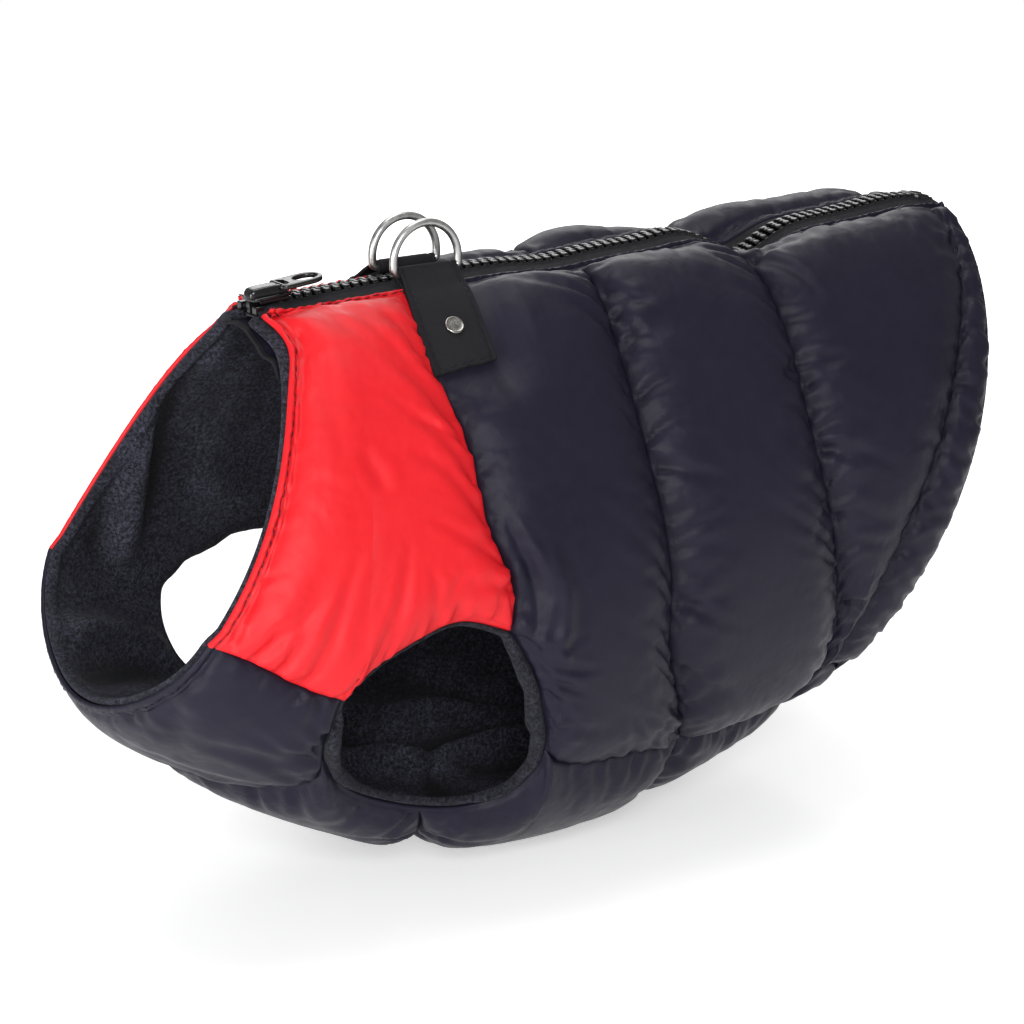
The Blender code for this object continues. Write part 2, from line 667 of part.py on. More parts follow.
def make_slider():
    """The slider's two plates, its front post and the cap that the pull hangs from."""
    _, place = zip_frame(SLIDER_X)
    middle = (CHAIN_FACE + CHAIN_BACK) / 2
    top, low = middle + SLIDER_MOUTH / 2, middle - SLIDER_MOUTH / 2
    plate = (SLIDER_LENGTH, SLIDER_WIDTH, PLATE)
    body = block("zip_slider", plate, (0, 0, top + PLATE / 2), PLATE_ROUNDING)
    post = (POST_LENGTH, POST_WIDTH, SLIDER_MOUTH + PLATE)
    cap = (CAP_LENGTH, CAP_WIDTH, CAP_HEIGHT)
    pieces = [
        block("lower plate", plate, (0, 0, low - PLATE / 2), PLATE_ROUNDING),
        block("post", post, (-SLIDER_LENGTH / 2 + POST_LENGTH / 2 + 0.3, 0, middle)),
        block("cap", cap, (0, 0, top + PLATE + CAP_HEIGHT / 2 - CAP_SUNK), CAP_ROUNDING, 3),
    ]
    for side in (-1, 1):
        edge = side * (SLIDER_WIDTH / 2 - 0.45)
        pieces.append(block("upper flange", (SLIDER_LENGTH - 2, 0.8, 0.9), (0, edge, top - 0.2)))
        pieces.append(block("lower flange", (SLIDER_LENGTH - 2, 0.8, 0.7), (0, edge, low + 0.15)))
    for piece in pieces:
        boolean(body, piece, "UNION")
    pin_height = top + PLATE + CAP_HEIGHT * 0.5
    hole = cylinder("pin hole", PULL_HOLE_RADIUS, 12, (PULL_PIN_BACK, 0, pin_height), "Y")
    boolean(body, hole, "DIFFERENCE")
    slider = apply_modifiers(body)
    slider.matrix_world = place
    collect(slider, "zip plastic", 35)
    make_pull(place @ Matrix.Translation(Vector((PULL_PIN_BACK, 0, pin_height)) * MM))


def make_pull(place):
    """The pull: a pin through the cap, two arms and a long oval eye, lying back over the teeth."""
    paddle = oval_plate("zip_pull", PULL_LENGTH, PULL_WIDTH, PULL_THICK)
    gap = CAP_WIDTH / 2 + 0.4
    slot_end = CAP_LENGTH / 2 - PULL_PIN_BACK + 0.6
    slot = block("slot for the cap", (slot_end + 6, 2 * gap, 6), (slot_end / 2 - 3, 0, 0))
    boolean(paddle, slot, "DIFFERENCE")
    boolean(paddle, cylinder("pin", PULL_PIN_RADIUS, 2 * gap + 2.4, (0, 0, 0), "Y"), "UNION")
    pull = apply_modifiers(paddle)
    pull.matrix_world = place @ Matrix.Rotation(math.radians(-PULL_TILT), 4, "Y")
    collect(pull, "zip plastic", 35)


def oval_plate(name, length, width, thickness):
    """A plate with round ends and a long oval eye near its far end, as a mesh."""
    curve = bpy.data.curves.new(name, "CURVE")
    curve.dimensions = "2D"
    curve.fill_mode = "BOTH"
    curve.extrude = (thickness / 2 - 0.25) * MM
    curve.bevel_depth = 0.25 * MM
    curve.bevel_resolution = 1
    inset = 0.25
    outline = rounded_outline(-PULL_NEAR_END, length - PULL_NEAR_END, width - 2 * inset)
    eye_middle = length - PULL_NEAR_END - PULL_RIM - PULL_EYE_LENGTH / 2
    eye = oval(eye_middle, PULL_EYE_LENGTH + 2 * inset, PULL_EYE_WIDTH + 2 * inset)
    for points in (outline, eye):
        spline = curve.splines.new("POLY")
        spline.points.add(len(points) - 1)
        for point, (x, y) in zip(spline.points, points):
            point.co = (x * MM, y * MM, 0, 1)
        spline.use_cyclic_u = True
    obj = bpy.data.objects.new(name, curve)
    bpy.context.scene.collection.objects.link(obj)
    bpy.context.view_layer.update()
    return welded_mesh(obj)


def welded_mesh(obj):
    """A curve's mesh with its caps welded on, in the curve's place."""
    graph = bpy.context.evaluated_depsgraph_get()
    mesh = bpy.data.meshes.new_from_object(obj.evaluated_get(graph))
    weld = bmesh.new()
    weld.from_mesh(mesh)
    bmesh.ops.remove_doubles(weld, verts=weld.verts, dist=1e-6)
    bmesh.ops.recalc_face_normals(weld, faces=weld.faces)
    weld.to_mesh(mesh)
    weld.free()
    place, name = obj.matrix_world.copy(), obj.name
    bpy.data.objects.remove(obj)
    made = bpy.data.objects.new(name, mesh)
    bpy.context.scene.collection.objects.link(made)
    made.matrix_world = place
    return made


def rounded_outline(start, end, width):
    """A bar's outline from start to end along X, with a round far end and clipped near corners."""
    half = width / 2
    points = [(start, -half * 0.75), (start + half * 0.25, -half)]
    for step in range(13):
        turn = math.radians(-90 + 15 * step)
        points.append((end - half + half * math.cos(turn), half * math.sin(turn)))
    return points + [(start + half * 0.25, half), (start, half * 0.75)]


def oval(middle, length, width, steps=20):
    turns = [2 * math.pi * step / steps for step in range(steps)]
    return [(middle + length / 2 * math.cos(turn), width / 2 * math.sin(turn)) for turn in turns]


def make_end_box():
    x = SECTIONS[-1].top_x - END_BOX_INSET - END_BOX_LENGTH / 2
    _, place = zip_frame(x)
    height = TAPE_FACE + PANEL_BACK + END_BOX_HEIGHT / 2
    size = (END_BOX_LENGTH, END_BOX_WIDTH, END_BOX_HEIGHT)
    box = apply_modifiers(block("zip_end_box", size, (0, 0, height), 0.6))
    box.matrix_world = place
    collect(box, "zip plastic", 35)


def ring_outline():
    """The D-ring's wire, as (x, z) from the middle of its bar."""
    half, corner = RING_HALF_WIDTH, RING_CORNER
    points = []
    for step in range(4):
        turn = math.radians(-90 + 30 * step)
        points.append((half - corner + corner * math.cos(turn), corner + corner * math.sin(turn)))
    for step in range(17):
        turn = math.pi * step / 16
        points.append((half * math.cos(turn), RING_LEG + half * math.sin(turn)))
    for step in range(4):
        turn = math.radians(180 + 30 * step)
        points.append((-half + corner + corner * math.cos(turn), corner + corner * math.sin(turn)))
    return points


def ring_centre(side):
    """The middle of a ring's bar. side is -1 on the left and 1 on the right."""
    top = base_point(along_at_x(RING_X), 0.0)[2]
    return Vector((RING_X, side * RING_Y, top + RING_BAR_HEIGHT))


def make_ring(name, side):
    """A D-ring, with its origin on the bar that it swings on."""
    curve = bpy.data.curves.new(name, "CURVE")
    curve.dimensions = "3D"
    curve.bevel_depth = WIRE_RADIUS * MM
    curve.bevel_resolution = 3
    spline = curve.splines.new("POLY")
    points = ring_outline()
    spline.points.add(len(points) - 1)
    for point, (x, z) in zip(spline.points, points):
        point.co = (x * MM, 0, z * MM, 1)
    spline.use_cyclic_u = True
    ring = bpy.data.objects.new(name, curve)
    bpy.context.scene.collection.objects.link(ring)
    ring.location = ring_centre(side) * MM
    bpy.context.view_layer.update()
    collect(welded_mesh(ring), "satin steel", 60)


def fold_row(reach):
    """Points across the left strap inside its fold, this far (down the flank, up) from the bar."""
    centre = ring_centre(-1)
    out, up = reach
    across_strap = np.linspace(-TAB_WIDTH / 2, TAB_WIDTH / 2, TAB_COLUMNS + 1)
    return np.array([(centre.x + x, centre.y - out, centre.z + up) for x in across_strap])


def tab_skins(places):
    """The left strap's two faces: points of the front panel, moved out, at even steps over it."""
    outer, inner = panel_skins("body_1", places)
    out = outer - inner
    out /= np.linalg.norm(out, axis=-1, keepdims=True)
    across_at = np.linspace(0, TAB_WIDTH, TAB_COLUMNS + 1)
    down_at = np.linspace(0, TAB_LENGTH, TAB_ROWS + 1)
    guides = np.array([read_along(row, row, across_at) for row in outer])
    skins = []
    for height, reach in zip((TAB_GAP + TAB_THICK, TAB_GAP), reversed(TAB_INTO_FOLD)):
        moved_out = outer + out * height
        rows = np.array([read_along(row, points, across_at) for row, points in zip(outer, moved_out)])
        columns = [read_along(guides[:, i], rows[:, i], down_at) for i in range(TAB_COLUMNS + 1)]
        skins.append(np.concatenate([[fold_row(reach)], np.stack(columns, axis=1)]))
    return skins


def read_along(guide, points, at):
    """The points at these distances, which are measured along the guide."""
    lengths = np.concatenate([[0], np.cumsum(np.linalg.norm(np.diff(guide, axis=0), axis=1))])
    return np.stack([np.interp(at, lengths, column) for column in points.T], axis=-1)


def make_tab(side_name, side, sides):
    """A strap folded round the ring's bar and sewn down on the front panel, with its rivet."""
    upper, lower = tab_skins(sides["body_1"])
    if side > 0:
        upper, lower = mirrored(upper), mirrored(lower)
    strap = bpy.data.objects.new(f"{side_name}_ring_tab", wall_mesh("strap", [(upper, lower)]))
    bpy.context.scene.collection.objects.link(strap)
    centre = ring_centre(side)
    boolean(strap, cylinder(f"{side_name} fold", LOOP_OUTER, TAB_WIDTH, centre), "UNION")
    boolean(strap, cylinder(f"{side_name} bar hole", LOOP_INNER, TAB_WIDTH + 8, centre), "DIFFERENCE")
    bpy.context.view_layer.update()
    collect(apply_modifiers(strap), "strap", 40)
    make_rivet(side_name, upper, lower)


def make_rivet(side_name, upper, lower):
    """A domed cap on the strap, turned about its own Z."""
    at = upper[RIVET_ROW, 1]
    out = at - lower[RIVET_ROW, 1]
    profile = bpy.data.meshes.new("rivet profile")
    steps = [math.radians(15 * step) for step in range(7)]
    points = [(RIVET_RADIUS * math.sin(turn), 0.3 + (RIVET_HEIGHT - 0.3) * math.cos(turn)) for turn in steps]
    points = points + [(RIVET_RADIUS, 0.0), (0.0, 0.0)]
    points[0] = (0.0, RIVET_HEIGHT)
    verts = [(x * MM, 0, z * MM) for x, z in points]
    profile.from_pydata(verts, [(i, i + 1) for i in range(len(verts) - 1)], [])
    rivet = bpy.data.objects.new(f"{side_name}_rivet", profile)
    bpy.context.scene.collection.objects.link(rivet)
    turned = rivet.modifiers.new("turned", "SCREW")
    turned.steps = turned.render_steps = 20
    turned.use_merge_vertices = True
    turned.merge_threshold = 1e-6
    rivet.rotation_mode = "QUATERNION"
    rivet.rotation_quaternion = Vector(out).to_track_quat("Z", "Y")
    rivet.location = Vector(at + RIVET_GAP * out / np.linalg.norm(out)) * MM
    collect(rivet, "nickel", 60)


# ---------------------------------------------------------------- the vest


def clear_scene():
    for obj in list(bpy.data.objects):
        bpy.data.objects.remove(obj)
    for name in ("padded dog vest", "cutters"):
        holder = bpy.data.collections.new(name)
        bpy.context.scene.collection.children.link(holder)


def main():
    clear_scene()
    sides, middle = pattern()
    make_panels(sides, middle)
    make_lining(sides, middle)
    make_arm_bands()
    make_zip(sides)
    make_slider()
    make_end_box()
    for side_name, side in (("left", -1), ("right", 1)):
        make_ring(f"{side_name}_ring", side)
        make_tab(side_name, side, sides)


main()
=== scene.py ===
"""The looks of a padded dog vest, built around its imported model.

The vest is filled out, with its head end towards -X, its left side at -Y and up at +Z. Every piece of
cloth is a patch between seam lines on one base surface, the outer face of the fleece lining. A place on
that surface is (along, round): along runs from 0 at the neck rim to 4 at the rear rim, and round from 0
at the zip over 1 at the middle of the belly to 2 back at the zip.

Sizes are in millimetres and angles in degrees, and MM turns millimetres into Blender's metres.
"""

import json  # noqa: E402
import logging  # noqa: E402
import math  # noqa: E402
from dataclasses import dataclass, field  # noqa: E402
from enum import Enum  # noqa: E402

import bmesh  # noqa: E402
import bpy  # noqa: E402
import numpy as np  # noqa: E402
from mathutils import Matrix, Vector  # noqa: E402

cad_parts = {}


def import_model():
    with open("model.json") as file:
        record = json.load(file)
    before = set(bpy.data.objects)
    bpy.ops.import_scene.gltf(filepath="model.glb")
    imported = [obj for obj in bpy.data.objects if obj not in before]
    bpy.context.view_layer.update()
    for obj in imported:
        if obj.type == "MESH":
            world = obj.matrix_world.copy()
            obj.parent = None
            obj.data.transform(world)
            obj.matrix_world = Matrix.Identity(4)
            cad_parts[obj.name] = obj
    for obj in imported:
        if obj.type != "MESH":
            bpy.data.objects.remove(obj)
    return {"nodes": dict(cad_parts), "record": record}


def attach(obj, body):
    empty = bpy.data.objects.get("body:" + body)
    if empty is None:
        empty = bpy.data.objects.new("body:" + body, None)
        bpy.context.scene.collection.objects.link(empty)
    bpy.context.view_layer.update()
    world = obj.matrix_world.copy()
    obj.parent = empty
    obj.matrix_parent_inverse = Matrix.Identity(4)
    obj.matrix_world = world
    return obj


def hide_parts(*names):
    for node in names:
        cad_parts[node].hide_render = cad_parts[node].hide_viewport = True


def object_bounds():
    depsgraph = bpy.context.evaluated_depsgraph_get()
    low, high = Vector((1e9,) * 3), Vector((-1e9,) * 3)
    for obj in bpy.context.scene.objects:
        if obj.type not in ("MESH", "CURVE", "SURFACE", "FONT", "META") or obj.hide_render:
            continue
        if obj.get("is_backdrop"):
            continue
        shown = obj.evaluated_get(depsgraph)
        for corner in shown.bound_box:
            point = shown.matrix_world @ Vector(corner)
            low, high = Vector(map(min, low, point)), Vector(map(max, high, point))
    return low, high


MM = 0.001
TINY = 1e-9
BODY = "vest"
log = logging.getLogger("dog vest")


class Side(Enum):
    """A side of the dog, with the sign of its Y."""

    LEFT = -1
    RIGHT = 1

    @property
    def word(self) -> str:
        """The side's name in a node's name."""
        return self.name.lower()


class Edge(Enum):
    """How a panel's edge is made, with how wide it stays flat before the padding rises."""

    SEAM = 0.0
    TURNED = 3.4
    ROLLED = 0.9


# ---------------------------------------------------------------- curves


def natural_spline(values: np.ndarray, at: np.ndarray) -> np.ndarray:
    """The smooth curve through values at 0, 1, 2 and so on.

    Args:
        values: What the curve passes through.
        at: Where it is read.

    Returns:
        The curve's values there.
    """
    values, at = np.asarray(values, float), np.asarray(at, float)
    count = len(values)
    system, right = np.eye(count), np.zeros(count)
    for i in range(1, count - 1):
        system[i, i - 1 : i + 2] = (1, 4, 1)
        right[i] = 6 * (values[i - 1] - 2 * values[i] + values[i + 1])
    bends = np.linalg.solve(system, right)
    i = np.clip(np.floor(at).astype(int), 0, count - 2)
    b = at - i
    a = 1 - b
    return a * values[i] + b * values[i + 1] + ((a**3 - a) * bends[i] + (b**3 - b) * bends[i + 1]) / 6


def lengths_along(points: np.ndarray) -> np.ndarray:
    """The distance of each point of a polyline from its start."""
    return np.concatenate([[0.0], np.cumsum(np.linalg.norm(np.diff(points, axis=0), axis=-1))])


def read_line(values: np.ndarray, lengths: np.ndarray, at: np.ndarray | float) -> np.ndarray:
    """A line's values read at some distances from its start.

    Args:
        values: A row of values for each point of the line.
        lengths: The points' distances from its start.
        at: The distances that it is read at.

    Returns:
        A row of values for each of them.
    """
    return np.stack([np.interp(at, lengths, column) for column in values.T], axis=-1)


def nearest_on(path: np.ndarray, points: np.ndarray) -> tuple[np.ndarray, np.ndarray]:
    """Finds the place on a path that is nearest to each point.

    Args:
        path: The path's points.
        points: The points, one a row.

    Returns:
        Each point's distance from the path, and how far along the path its place is, from 0 to 1.
    """
    best, where = np.full(len(points), np.inf), np.zeros(len(points))
    for k in range(len(path) - 1):
        step = path[k + 1] - path[k]
        share = np.clip(((points - path[k]) @ step) / max(step @ step, TINY), 0, 1)
        far = np.linalg.norm(points - path[k] - share[:, None] * step, axis=1)
        nearer = far < best
        best[nearer], where[nearer] = far[nearer], (k + share[nearer]) / (len(path) - 1)
    return best, where


def bell(values: np.ndarray | float, middle: np.ndarray | float, width: np.ndarray | float) -> np.ndarray:
    """A smooth hump: 1 at its middle and about a third one width away."""
    return np.exp(-(((values - middle) / width) ** 2))


def unit(vectors: np.ndarray) -> np.ndarray:
    """The vectors, each made one long."""
    return vectors / np.maximum(np.linalg.norm(vectors, axis=-1, keepdims=True), TINY)


def joined(*lines: np.ndarray) -> np.ndarray:
    """Lines end to end, with their shared ends taken once."""
    return np.concatenate([lines[0]] + [piece[1:] for piece in lines[1:]])


def doubled(grid: np.ndarray) -> np.ndarray:
    """A grid of points with a smooth new one between every two."""
    for axis in (0, 1):
        lines = np.moveaxis(grid, axis, 0)
        before, after = lines[:1] * 2 - lines[1:2], lines[-1:] * 2 - lines[-2:-1]
        wide = np.concatenate([before, lines, after])
        between = (9 * (wide[1:-2] + wide[2:-1]) - wide[:-3] - wide[3:]) / 16
        fine = np.empty((2 * len(lines) - 1, *lines.shape[1:]))
        fine[::2], fine[1::2] = lines, between
        grid = np.moveaxis(fine, 0, axis)
    return grid


def closer_lines(count: int, step: float, first: tuple[float, ...], last: tuple[float, ...]) -> np.ndarray:
    """Where a grid is read so that its lines lie closer together near its ends.

    Args:
        count: How many lines the grid has.
        step: The distance between two of them.
        first: The distances of the new lines from its first line.
        last: Their distances from its last line.

    Returns:
        Places between its lines, counted in lines.
    """
    near = np.array((0.0,) + first) / step
    far = count - 1 - np.array((0.0,) + last)[::-1] / step
    kept = np.arange(math.ceil(near[-1] + 0.4), math.floor(far[0] - 0.4) + 1)
    return np.concatenate([near, kept, far])


def read_between(grid: np.ndarray, rows_at: np.ndarray, columns_at: np.ndarray) -> np.ndarray:
    """A grid read at places between its lines."""
    for axis, at in ((0, rows_at), (1, columns_at)):
        lines = np.moveaxis(grid, axis, 0)
        i = np.clip(np.floor(at).astype(int), 0, len(lines) - 2)
        share = (at - i).reshape(-1, *[1] * (lines.ndim - 1))
        grid = np.moveaxis(lines[i] * (1 - share) + lines[i + 1] * share, 0, axis)
    return grid


def softened(grid: np.ndarray, times: int) -> np.ndarray:
    """A grid of values, each averaged with its neighbours this many times, with the border kept."""
    grid = grid.copy()
    for _ in range(times):
        inner = grid[1:-1, 1:-1]
        around = grid[:-2, 1:-1] + grid[2:, 1:-1] + grid[1:-1, :-2] + grid[1:-1, 2:]
        grid[1:-1, 1:-1] = 0.5 * inner + 0.125 * around
    return grid


# ---------------------------------------------------------------- the body of the garment


@dataclass(frozen=True)
class Section:
    """A ring round the garment, from its place on the back to its place under the belly."""

    top_x: float
    top_z: float
    bottom_x: float
    bottom_z: float
    half_width: float
    widest_at: float
    top_pinch: float
    bottom_pinch: float


@dataclass(frozen=True)
class ZipWave:
    """A place where a quilting seam buckles the zip."""

    x: float
    lift: float
    half_length: float


@dataclass(frozen=True)
class VestForm:
    """The base surface that all the cloth follows."""

    sections: tuple[Section, ...] = (
        Section(-54.6, -2.9, -110.6, -103.6, 48.4, 0.70, 0.18, 0.16),
        Section(-16.0, -0.8, -26.5, -154.0, 60.0, 0.65, 0.22, 0.00),
        Section(42.7, 0.4, 55.8, -161.0, 56.8, 0.55, 0.16, -0.06),
        Section(102.0, 0.7, 115.7, -143.4, 55.3, 0.52, 0.08, -0.03),
        Section(183.2, 1.2, 120.6, -148.6, 57.0, 0.48, 0.12, 0.12),
    )
    waves: tuple[ZipWave, ...] = (
        ZipWave(39.0, -1.5, 13.0),
        ZipWave(84.0, 1.5, 10.0),
        ZipWave(109.0, -8.0, 13.0),
        ZipWave(168.0, 2.5, 18.0),
    )
    wave_reach: float = 17.0
    lift: float = 3.6

    def point(self, along: np.ndarray | float, round_: np.ndarray | float) -> np.ndarray:
        """The surface's points at these places, in millimetres."""
        along, round_ = np.broadcast_arrays(np.asarray(along, float), np.asarray(round_, float))
        names = Section.__dataclass_fields__
        row = Section(*(natural_spline([getattr(s, name) for s in self.sections], along) for name in names))
        cosine, sine = np.cos(np.pi * round_), np.sin(np.pi * round_)
        upper = cosine >= 0
        drop = np.where(upper, row.widest_at * (1 - cosine), row.widest_at - (1 - row.widest_at) * cosine)
        pinch = np.where(upper, row.top_pinch, row.bottom_pinch)
        x = row.top_x + (row.bottom_x - row.top_x) * drop
        y = -row.half_width * sine * (1 - pinch * cosine**2)
        z = row.top_z + (row.bottom_z - row.top_z) * drop
        near_zip = bell(y, 0.0, self.wave_reach) * upper
        for wave in self.waves:
            z = z + near_zip * wave.lift * bell(x, wave.x, wave.half_length)
        return np.stack([x, y, z + self.lift], axis=-1)

    def normal(self, along: np.ndarray | float, round_: np.ndarray | float) -> np.ndarray:
        """Unit vectors out of the garment at these places."""
        along, round_ = np.asarray(along, float), np.asarray(round_, float)
        step, step_back = 1e-3, 2e-3
        down = self.point(along, round_ + step) - self.point(along, round_ - step)
        back = self.point(along + step_back, round_) - self.point(along - step_back, round_)
        return unit(np.cross(down, back))

    def raised(self, places: np.ndarray, heights: np.ndarray | float) -> np.ndarray:
        """Points this far off the surface."""
        heights = np.broadcast_to(np.asarray(heights, float), places.shape[:-1])
        at = (places[..., 0], places[..., 1])
        return self.point(*at) + self.normal(*at) * heights[..., None]

    def beside_zip(self, along: float, arc: float) -> tuple[float, float]:
        """The place this many millimetres from the middle of the zip."""
        steps = np.linspace(0, 0.5, 121)
        return (along, float(np.interp(arc, lengths_along(self.point(along, steps)), steps)))

    def along_at(self, x: float) -> float:
        """Where along the zip this X lies."""
        steps = np.linspace(-0.2, len(self.sections) - 1.0, 401)
        return float(np.interp(x, self.point(steps, 0.0)[:, 0], steps))

    def line(self, points: tuple, steps: int) -> np.ndarray:
        """A seam line: a smooth curve through these places, cut into equal stretches."""
        points = np.asarray(points, float)
        fine = np.linspace(0, len(points) - 1, 40 * (len(points) - 1) + 1)
        places = np.stack([natural_spline(column, fine) for column in points.T], axis=-1)
        lengths = lengths_along(self.point(places[:, 0], places[:, 1]))
        return read_line(places, lengths, np.linspace(0, lengths[-1], steps + 1))


def across(half: np.ndarray) -> np.ndarray:
    """A line from the left side to the middle of the belly, carried on to the right side."""
    return joined(half, other_side(half[::-1]))


def other_side(places: np.ndarray) -> np.ndarray:
    """The same places on the garment's other side."""
    places = places.copy()
    places[..., 1] = 2 - places[..., 1]
    return places


def patch(top: np.ndarray, foot: np.ndarray, front: np.ndarray, rear: np.ndarray) -> np.ndarray:
    """The grid of places between four lines.

    Args:
        top: The upper line, running backwards.
        foot: The lower line, running backwards.
        front: The front line, running down.
        rear: The rear line, running down.

    Returns:
        The grid, rows down and columns back.
    """
    down = np.linspace(0, 1, len(front))[:, None, None]
    back = np.linspace(0, 1, len(top))[None, :, None]
    between_rows = (1 - down) * top[None] + down * foot[None]
    between_columns = (1 - back) * front[:, None] + back * rear[:, None]
    corners = (1 - down) * ((1 - back) * top[0] + back * top[-1])
    corners = corners + down * ((1 - back) * foot[0] + back * foot[-1])
    return between_rows + between_columns - corners


@dataclass(frozen=True)
class Steps:
    """How many stretches each kind of seam line is drawn with, at fineness 1, about 4.4 mm each."""

    yoke_rows: int = 24
    arm_rows: int = 11
    chest: int = 10
    arm_top: int = 13
    arm_front: int = 5
    half_arm_foot: int = 10
    panel: int = 13
    rear_panel: int = 16
    hem: int = 4
    half_belly: int = 11


@dataclass(frozen=True)
class Pattern:
    """The seam lines, as places on the form, and the patches between them."""

    form: VestForm = VestForm()
    steps: Steps = Steps()
    panel_arc: float = 8.8
    yoke_back: float = 0.085
    yoke_back_reach: float = 22.0
    yoke_corner_reach: float = 20.0
    lining_arc: float = 4.8
    seam_tops: tuple[float, ...] = (-0.03, 1.06, 2.05, 2.95, 3.91, 4.0)
    chest_corner: tuple[float, float] = (0.485, 0.547)
    yoke_corner: tuple[float, float] = (1.155, 0.453)
    side_corner: tuple[float, float] = (1.36, 0.634)
    belly_corner: tuple[float, float] = (0.54, 0.695)
    neck_chest: tuple[float, float] = (0.0, 0.54)
    neck_route: tuple = ((-0.105, 0.066), (0.02, 0.132), (0.075, 0.214), (0.07, 0.375), (0.0, 0.54))
    seam_2_foot: tuple[float, float] = (2.05, 0.73)
    seam_3_foot: tuple[float, float] = (2.77, 0.78)
    hem_foot: tuple[float, float] = (2.96, 0.775)
    rim_foot: tuple[float, float] = (4.0, 0.798)
    under_neck: tuple = ((0.0, 0.75), (0.0, 1.0))
    under_rim: tuple = ((4.0, 0.90), (4.0, 1.0))

    def down_lines(self, fine: int, arc: float | None = None) -> tuple[np.ndarray, ...]:
        """The lines that run down a side: neck, seams 1 to 3, hem and rear rim.

        Args:
            fine: How many stretches each of the steps is cut into.
            arc: How far from the middle of the zip they start; the panels' own distance if not given.

        Returns:
            The lines.
        """
        rows = self.steps.yoke_rows + self.steps.arm_rows
        tops = [self.form.beside_zip(along, arc or self.panel_arc) for along in self.seam_tops]
        routes = (
            self.neck_route,
            ((1.005, 0.188), (1.07, 0.281), (1.095, 0.361), (1.17, 0.411), self.yoke_corner),
            ((1.95, 0.23), (1.915, 0.357), (1.92, 0.459), (1.895, 0.543), (1.96, 0.634), self.seam_2_foot),
            ((2.90, 0.237), (2.84, 0.371), (2.865, 0.491), (2.915, 0.601), (2.93, 0.705), self.seam_3_foot),
            ((3.885, 0.224), (3.775, 0.365), (3.62, 0.487), (3.31, 0.622), (3.08, 0.71), self.hem_foot),
            ((4.0, 0.25), (4.0, 0.50), self.rim_foot),
        )
        counts = (self.steps.yoke_rows, self.steps.yoke_rows, rows, rows, rows, rows)
        return tuple(
            self.form.line((top,) + route, count * fine) for top, route, count in zip(tops, routes, counts)
        )

    def armhole_lines(self, fine: int) -> tuple[np.ndarray, ...]:
        """The armhole's top, rear, front and foot lines."""
        steps, line = self.steps, self.form.line
        top = (self.chest_corner, (0.56, 0.494), (0.75, 0.455), (0.95, 0.438), self.yoke_corner)
        rear = (self.yoke_corner, (1.26, 0.50), (1.33, 0.58), self.side_corner)
        front = (self.chest_corner, (0.495, 0.63), self.belly_corner)
        under = ((0.71, 0.768), (0.90, 0.779), (1.10, 0.768), (1.29, 0.72))
        foot = (self.belly_corner, *under, self.side_corner)
        return (
            line(top, steps.arm_top * fine),
            line(rear, steps.arm_rows * fine),
            line(front, steps.arm_front * fine),
            line(foot, 2 * steps.half_arm_foot * fine),
        )

    def side_lines(self, fine: int) -> tuple[np.ndarray, ...]:
        """The chest line, and the four lines between the side and the belly."""
        steps, line = self.steps, self.form.line
        return (
            line((self.neck_chest, (0.16, 0.536), (0.32, 0.546), self.chest_corner), steps.chest * fine),
            line((self.side_corner, (1.49, 0.670), (1.79, 0.700), self.seam_2_foot), steps.panel * fine),
            line((self.seam_2_foot, (2.21, 0.751), (2.47, 0.777), self.seam_3_foot), steps.panel * fine),
            line((self.seam_3_foot, self.hem_foot), steps.rear_panel * fine),
            line((self.hem_foot, self.rim_foot), steps.hem * fine),
        )

    def belly_lines(self, fine: int) -> tuple[np.ndarray, ...]:
        """The lines across the chest and belly: neck, chest seam, belly seams and rear rim."""
        steps, line = self.steps, self.form.line
        half = steps.half_belly * fine
        _, _, front, foot = self.armhole_lines(fine)
        middle = tuple(foot[steps.half_arm_foot * fine])
        chest_rear = line((self.belly_corner, (0.56, 0.785), (0.43, 0.90), (0.29, 1.0)), half)
        neck = line((self.neck_chest, *self.under_neck), steps.arm_front * fine + half)
        return (
            across(neck),
            across(joined(front, chest_rear)),
            across(chest_rear),
            across(line((middle, (1.11, 0.89), (1.17, 1.0)), half)),
            across(line((self.seam_2_foot, (1.99, 0.85), (1.98, 1.0)), half)),
            across(line((self.seam_3_foot, (2.78, 0.88), (2.76, 1.0)), half)),
            across(line((self.rim_foot, *self.under_rim), half)),
        )

    def zip_line(self, start: float, end: float, steps: int, arc: float) -> np.ndarray:
        """A line beside the zip, at one distance from its middle."""
        return np.array([self.form.beside_zip(along, arc) for along in np.linspace(start, end, steps + 1)])

    def side_patches(self, fine: int) -> dict[str, np.ndarray]:
        """The left side's panels."""
        neck, seam_1, seam_2, seam_3, hem, rim = self.down_lines(fine)
        arm_top, arm_rear, _, _ = self.armhole_lines(fine)
        chest, *sides = self.side_lines(fine)
        steps = self.steps
        neck = neck.copy()
        down = lengths_along(self.form.point(neck[:, 0], neck[:, 1]))
        fading = np.clip((down[-1] - down) / self.yoke_corner_reach, 0, 1)
        neck[:, 0] += self.yoke_back / (1 + (down / self.yoke_back_reach) ** 5) * fading
        counts = (steps.chest + steps.arm_top, steps.panel, steps.panel, steps.rear_panel, steps.hem)
        tops = [
            self.zip_line(self.seam_tops[i], self.seam_tops[i + 1], count * fine, self.panel_arc)
            for i, count in enumerate(counts)
        ]
        tops[0] = self.zip_line(float(neck[0, 0]), self.seam_tops[1], counts[0] * fine, self.panel_arc)
        feet = (joined(chest, arm_top), *sides)
        fronts = (neck, joined(seam_1, arm_rear), seam_2, seam_3, hem)
        rears = (seam_1, seam_2, seam_3, hem, rim)
        names = ("yoke", "body_1", "body_2", "body_3", "hem_band")
        return {name: patch(*lines) for name, *lines in zip(names, tops, feet, fronts, rears)}

